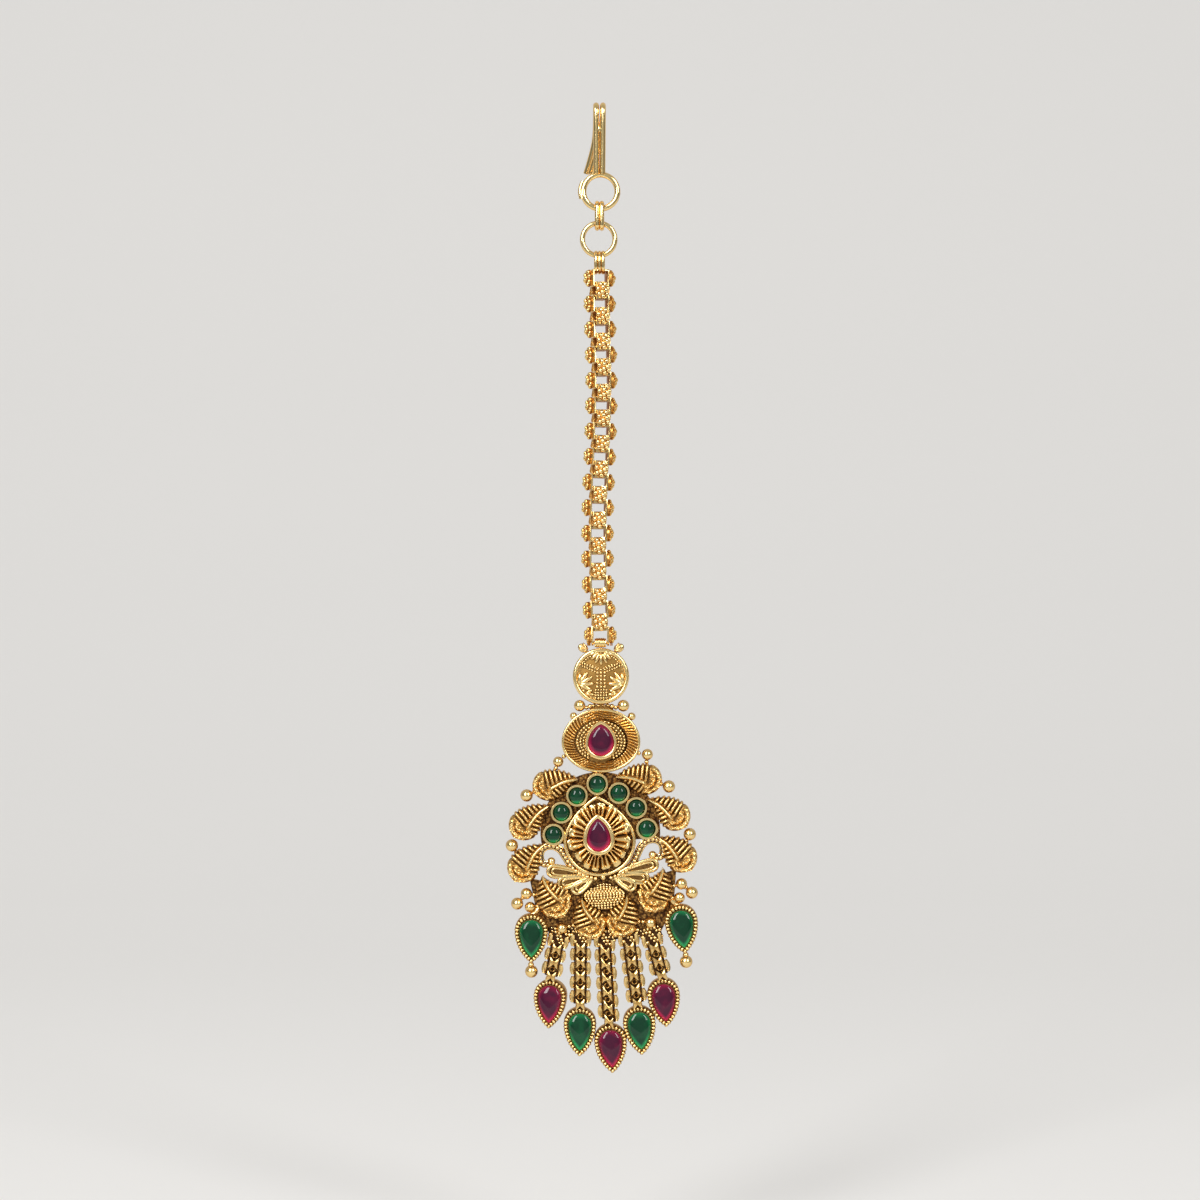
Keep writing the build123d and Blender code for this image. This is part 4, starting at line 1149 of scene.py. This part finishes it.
half_work = new_metal()
for offset in (-0.40, 0.40):
    line = [(x - offset * math.sin(heading), y + offset * math.cos(heading), -0.22)
            for x, y, heading in trace(SCROLL, 0.8)]
    add_wire(half_work, line, 0.19, low=0.1, sides=4, smooth=4)
sow(half_work, grain, 0.36, [(x, y, 0.20) for x, y, _ in trace(SCROLL, 0.66)])
add_bright_ball(half_work, *SCROLL[-1], 0.62, -0.1)
for root_x, root_y, end_x, end_y, width in LEAF_LOOPS:
    length = math.hypot(end_x - root_x, end_y - root_y)
    loop = new_metal()
    add_rim(loop, lambda s: pear_point(width - 0.46, length - 0.50, s), 0.27, 0.10, count=28)
    add_rim(loop, lambda s: pear_point(width - 1.28, length - 1.70, s), 0.18, 0.10, count=20)
    edge = [pear_point(width - 0.2, length - 0.3, step / 24) for step in range(24)]
    core = loop.faces.new([loop.verts.new((x, y, SHEET_FRONT - 0.2)) for x, y in edge])
    raise_plate(loop, core, -0.02)
    layer = loop.verts.layers.float["wear_and_shade"]
    for vert in loop.verts:
        if vert[layer] == 0.0:
            vert[layer] = 0.12
    angle = math.atan2(end_y - root_y, end_x - root_x) + math.pi / 2
    middle = Matrix.Translation(((root_x + end_x) / 2, (root_y + end_y) / 2, 0))
    stamp(half_work, pattern_mesh(loop), middle @ Matrix.Rotation(angle, 4, "Z"))

# ------------------------------------------------
# Gold balls stand round the edge in ones and twos, each soldered on with a run of
# small grains.
PLAQUE_BALLS = [
    # x, y, radius, x and y of what it is soldered to: the right-hand half
    (11.04, 7.29, 0.98, 7.42, 8.70),
    (13.80, -0.29, 0.98, 12.07, -3.49),
    (12.03, -7.89, 0.90, 9.0, -8.6),
    (13.55, -9.35, 0.96, 12.03, -7.89),
    (11.59, -10.01, 0.85, 9.0, -10.0),
    (6.88, -13.62, 0.90, 4.5, -13.2),
]
CROWN_BALLS = [
    # x, y, radius: above the uppermost leaves
    (8.02, 12.45, 0.88),
    (-5.82, 12.20, 0.82),
]


def add_soldered_ball(bm, x, y, radius, aim_x, aim_y):
    """A ball, and the run of grains that joins it to the leaf it stands beside."""
    add_bright_ball(bm, x, y, radius, -0.2)
    aim = Vector((aim_x - x, aim_y - y)).normalized()
    for step in range(3):
        away = radius + 0.26 + 0.66 * step
        add_bright_ball(bm, x + away * aim.x, y + away * aim.y, 0.36, -0.45 - 0.1 * step, sides=10)


for x, y, radius, aim_x, aim_y in PLAQUE_BALLS:
    add_soldered_ball(half_work, x, y, radius, aim_x, aim_y)
wire_work = both_halves(half_work)
for x, y, radius in CROWN_BALLS:
    add_soldered_ball(wire_work, x, y, radius, math.copysign(7.4, x), 8.7)
add_bright_ball(wire_work, 0, -6.12, 0.47, 0.1)
finish_plaque_work(wire_work, "scrolls_and_balls")

# ------------------------------------------------
# The basket at the frame's foot: a swelling half round, wider than it is high and
# covered with rows of grains.
BASKET_MIDDLE = -8.82
BASKET_HALF = (3.35, 1.95)


def basket_place(x, y):
    """A point of the half round, for x and y that are inside a circle of radius 1."""
    swell = math.sqrt(max(0.0, 1 - 0.92 * math.hypot(x, y) ** 2.4))
    y *= 0.92 * (1 - 0.42 * abs(x)) if y > 0 else 1.10 * (1 - 0.10 * x * x)
    return BASKET_HALF[0] * x, BASKET_MIDDLE + BASKET_HALF[1] * y, -0.35 + 1.20 * swell


def basket_relief(s, t):
    return (*basket_place(*round_point(s, 1 - t)), 0.0)


basket = new_metal()
relief(basket, 64, 20, basket_relief, -1.1)
grain_places = []
for row in range(11):
    up = 0.93 - 0.186 * row
    span = math.sqrt(1 - up * up)
    count = max(3, round(2 * span * BASKET_HALF[0] / 0.52))
    for step in range(count):
        across = (step + 0.5) / count * 2 - 1
        grain_places.append(basket_place(across * span * 0.96, up))
sow(basket, grain, 0.26, grain_places)
finish_plaque_work(basket, "reeded_basket")

# ------------------------------------------------
# The side settings hang at the plaque's lower corners, points down: a cup whose lip
# is a rope of grains, a green pear stone, and a gold ball below.
SIDE_PEAR = (5.10, 7.60, 3.64, 5.80)
SIDE_LIP = 1.10
SIDE_PLACE = (11.69, -14.79, 3.4)
SIDE_BALL = (12.0, -19.96, 1.0)
GRAIN_PITCH = 0.57
ROPE_GRAIN = Matrix.Diagonal((0.27, 0.40, 0.38, 1))


def grained_cup(pear, lip, back):
    """A pear cup, closed behind, with a rope of grains on its lip."""
    outline = pear_between(pear)
    cup = new_metal()
    # The floor under the rope of grains is left at 0, painted dark as the shade in the gaps between the
    # grains and beside the stone
    add_moulding(cup, outline, [
        (0.0, back, 0.4), (0.0, lip - 0.50, 0.4), (0.06, lip - 0.42, 0.2), (0.45, lip - 0.42, 0.0),
        (0.84, lip - 0.36, 0.0), (0.92, lip - 0.22, 0.3), (0.98, lip - 0.22, 0.3), (1.04, lip - 0.5, 0.1)])
    count = round(2.9 * (pear[0] + pear[1]) / 2 / GRAIN_PITCH)
    for step in range(count):
        x, y = outline(0.45, step / count)
        next_x, next_y = outline(0.45, (step + 0.1) / count)
        heading = Matrix.Rotation(math.atan2(next_y - y, next_x - x), 4, "Z")
        stamp(cup, rope_grain, Matrix.Translation((x, y, lip - 0.24)) @ heading @ ROPE_GRAIN)
    fill_holes(cup)
    return pattern_mesh(cup)


rope_grain = grain_of_gold(low=0.10)
cup = grained_cup(SIDE_PEAR, SIDE_LIP, SHEET_BACK)
side_work = new_metal()
x, y, turn = SIDE_PLACE
ball_x, ball_y, ball_radius = SIDE_BALL
for side, end in ((-1, "left"), (1, "right")):
    here = Matrix.Translation((side * x, y, 0)) @ spin(180 + side * turn, "Z")
    stamp(side_work, cup, here)
    add_wire(side_work, [(side * x, y + 3.0, -0.5), (side * (x - 1.1), y + 4.4, -0.75),
                         (side * (x - 2.6), y + 5.7, -0.85)], 0.55)
    add_bright_ball(side_work, side * ball_x, ball_y, ball_radius, -0.2)
    add_bright_ball(side_work, side * ball_x, ball_y + 1.05, 0.48, -0.2, sides=10)
    cut_pear(f"side_stone_{end}", f"side_emerald_{end}", SIDE_PEAR, SIDE_LIP, plaque_stand @ here,
             "emerald_glass", up=-1)
finish_plaque_work(side_work, "side_cups")

# ------------------------------------------------
# The fringe: five lengths of fine box chain. The uppermost link of each is soldered
# to the plaque's lower edge and the lowest to its drop; each link turns in the next.
FRINGE_PITCH = 1.085
FRINGE_WALL = 0.74
FRINGE_WIDTH = 3.40
FRINGE_BAND = 1.58
FRINGE_HEIGHT = 1.72
FRINGE = [
    # lug x, lug z, links, lean, drop's lean, drop's turn
    (-6.43, -128.30, 4, -11.5, -1.8, -8.0),
    (-2.91, -128.15, 8, -0.5, -0.5, 0.0),
    (0.78, -128.60, 10, 3.3, 4.3, 0.0),
    (4.54, -128.05, 8, 7.8, 5.3, 0.0),
    (8.20, -128.15, 4, 15.0, 5.6, 0.0),
]


def fringe_place(row, index):
    """Where one link of a fringe chain is; link 0 is the plaque's own lug."""
    lug_x, lug_z, _, lean, _, _ = row
    return link_matrix(*hanging(lug_x, lug_z, lean, FRINGE_PITCH * index), lean, 90 * (index % 2))


def fringe_link(backed, twist=0.0):
    """Two notched walls, left and right, joined by bars or by a web, both painted dark as the shade inside
    the link; a twist raises what lies to the left of the chain's middle and lowers what lies right."""
    wall = new_metal()
    layer = wall.verts.layers.float["wear_and_shade"]
    bmesh.ops.create_cube(wall, size=2.0)
    bmesh.ops.subdivide_edges(wall, edges=wall.edges[:], cuts=3, use_grid_fill=True)
    for vert in wall.verts:
        x, y, z = vert.co
        outward = 0.5 + 0.5 * x
        notch = 0.62 * max(0.0, 1 - abs(y))
        pinch = 0.14 * (1 - z * z)
        swell = (1 - 0.30 * z ** 4) * (1 - 0.10 * y * y)
        vert.co.x = FRINGE_WIDTH / 2 - FRINGE_WALL + outward * FRINGE_WALL * swell
        vert.co.y = y * FRINGE_BAND / 2 * (1 - pinch) * (1 - 0.20 * x * x)
        vert.co.z = z * (FRINGE_HEIGHT / 2 - notch)
        # Outer and front faces are pale, palest towards the tips, and the inner faces dark: painted
        # highlights and painted shade, with wearing on the outer faces
        vert[layer] = max(outward, y * y) * (0.50 + 0.25 * z * z + 0.25 * y * y)
    wall = pattern_mesh(wall)
    link = new_metal()
    for side in (0, 180):
        stamp(link, wall, spin(side, "Z"))
    deep, high = (0.60, FRINGE_PITCH * 2 + 0.02) if backed else (1.0, 0.50)
    wide = FRINGE_WIDTH - 2 * FRINGE_WALL + 0.1
    add_block(link, Matrix.Diagonal((wide, deep, high, 1)))
    for vert in link.verts:
        across = vert.co.x if backed else -vert.co.y
        vert.co.z -= twist * min(1.0, max(-1.0, across / 0.35))
    return pattern_mesh(link)


def link_eye():
    """A little ring that shows in the hollow between two notched walls, painted dark as shade, with a faint
    painted highlight on its front.
    """
    eye = new_metal()
    add_wire(eye, ring_points(0, 0, 0.38, count=12), 0.13, closed=True)
    rub_and_shade(eye, eye.verts, 0.0, 0.36, TOWARDS_VIEWER)
    return pattern_mesh(eye)


FRINGE_TWIST = 0.36                 # in the middle chain
straight_links = fringe_link(True), fringe_link(False)
twisted_links = fringe_link(True, FRINGE_TWIST), fringe_link(False, FRINGE_TWIST)
eye_pattern = link_eye()
EYE_AT = Matrix.Translation((0, -0.50, 0))


def add_link(bm, number, index):
    """Stamp a link of a fringe chain; every other one is turned a quarter."""
    row = FRINGE[number - 1]
    patterns = twisted_links if number == 3 else straight_links
    here = fringe_place(row, index)
    stamp(bm, patterns[index % 2], here)
    if index % 2 == 0 and index > 0:
        stamp(bm, eye_pattern, here @ EYE_AT)
    return here


lugs = new_metal()
for number in range(1, 6):
    here = add_link(lugs, number, 0)
    add_block(lugs, here @ placed((0, 0.35, 1.35), (FRINGE_WIDTH, 1.0, 1.5)))
    # Spilt grains of solder hide the join
    for step in range(30):
        column, line = step % 6, step // 6
        forward = 0.12 + 0.25 * math.sin(2.3 * step)
        place = (-1.35 + 0.54 * column + 0.2 * (line % 2), -forward, -0.15 + 0.5 * line)
        lie = here @ Matrix.Translation(place) @ spin(90, "X")
        stamp(lugs, grain, lie @ Matrix.Scale(0.30 + 0.05 * math.sin(1.7 * step), 4))
finish_piece(lugs, "fringe_lugs", "pendant", "antique_gold", "main_plaque")
for number, row in enumerate(FRINGE, start=1):
    fringe = new_metal()
    for index in range(row[2]):
        add_link(fringe, number, index + 1)
    finish_piece(fringe, f"fine_chain_{number}", "pendant", "antique_gold", f"fringe_chain_{number}")

# ------------------------------------------------
# The drops: pear cups, points down, with a rope of grains round the lip and a pear
# stone in each, red and green in turn. A short neck carries the chain's last link.
DROP_PEAR = (5.00, 7.60, 3.60, 5.80)
DROP_LIP = 0.95
DROP_BACK = -1.15
DROP_HANG = 0.56
cup = grained_cup(DROP_PEAR, DROP_LIP, DROP_BACK)
for number, row in enumerate(FRINGE, start=1):
    drop = new_metal()
    last = add_link(drop, number, row[2] + 1)
    lean, turn = row[4:]
    x, z = hanging(last.translation.x, last.translation.z, lean, DROP_HANG + DROP_PEAR[1] / 2)
    here = link_matrix(x, z, lean, turn) @ spin(90, "X") @ spin(180, "Z")
    stamp(drop, cup, here)
    add_block(drop, last @ placed((0, 0.15, -0.85), (1.5, 1.1, 0.9)))
    finish_piece(drop, f"drop_cup_{number}", "pendant", "antique_gold", f"drop_setting_{number}")
    cut_pear(f"drop_glass_{number}", f"drop_stone_{number}", DROP_PEAR, DROP_LIP, here,
             "ruby_glass" if number % 2 else "emerald_glass", up=-1)

# ------------------------------------------------
# The stage: a pale sheet that curves up behind the jewel, soft boxes of light, and a
# camera level with the middle of the jewel.
FLOOR = -0.178
sheet = bmesh.new()
bmesh.ops.create_grid(sheet, x_segments=1, y_segments=24, size=0.5)
for vert in sheet.verts:
    along = vert.co.y + 0.5
    vert.co.x *= 6.0
    bend = math.pi / 2 * min(1.0, max(0.0, (along - 0.6) / 0.2))
    vert.co.y = -0.2 + 0.6 * min(along, 0.6) / 0.6 + 0.3 * math.sin(bend)
    vert.co.z = FLOOR + 0.3 * (1 - math.cos(bend)) + max(0.0, along - 0.8) * 8.0
bmesh.ops.recalc_face_normals(sheet, faces=sheet.faces)
mesh = bpy.data.meshes.new("backdrop")
sheet.to_mesh(mesh)
sheet.free()
mesh.shade_smooth()
backdrop = add_object("backdrop", mesh)
paper = Finish(bpy.data.materials.new("paper"))
paper.set(Base_Color=(0.46, 0.453, 0.44, 1), Roughness=0.9, Emission_Color=(1, 0.985, 0.96, 1),
          Emission_Strength=0.36)
mesh.materials.append(paper.material)

LIT_POINT = Vector((0, 0, -0.08))
SOFT_BOXES = [
    # name, place, width and height, watts
    ("key_box", (-0.36, -0.62, 0.30), (0.20, 0.58), 5.2),
    ("fill_box", (0.42, -0.56, 0.26), (0.16, 0.40), 2.4),
    ("low_box", (0.05, -0.60, -0.55), (0.5, 0.12), 0.5),
]
for name, place, size, power in SOFT_BOXES:
    light = bpy.data.lights.new(name, "AREA")
    light.shape = "RECTANGLE"
    light.size, light.size_y = size
    light.energy = power
    lamp = add_object(name, light)
    lamp.location = place
    lamp.rotation_euler = (LIT_POINT - lamp.location).to_track_quat("-Z", "Y").to_euler()

# The room: pale overhead, behind the jewel and behind the viewer, and dimmer to the
# sides, so that polished metal has something dark to show between the soft boxes
ROOM_FADES = [
    # axis, from and to along it, strength there and there: in front, behind, above
    (1, -1.0, -0.75, 0.50, 0.15),
    (1, -0.3, 0.6, 0.0, 0.35),
    (2, 0.0, 0.9, 0.0, 0.28),
]
ROOM_SEEN = 0.80            # as the camera sees it, which lights nothing
studio = Finish(bpy.data.worlds.new("studio"), "Background")
bpy.context.scene.world = studio.material
toward = studio.node("ShaderNodeTexCoord")
lit = 0.0
for axis, start, end, low, high in ROOM_FADES:
    along = studio.node("ShaderNodeSeparateXYZ", {}, {0: toward}, output=axis)
    lit += studio.node("ShaderNodeMapRange", {}, {0: along, 1: start, 2: end, 3: low, 4: high})
seen = studio.node("ShaderNodeLightPath")
studio.set(Color=(0.90, 0.89, 0.88, 1), Strength=lit + seen * (ROOM_SEEN - lit))

camera = bpy.data.cameras.new("camera")
camera.lens = 85
camera.sensor_width = 36
view = add_object("camera", camera)
view.location = (0.00008, -0.4392, -0.0754)
view.rotation_euler = (math.radians(90), 0, 0)
bpy.context.scene.camera = view
bpy.context.scene.view_settings.view_transform = "Standard"
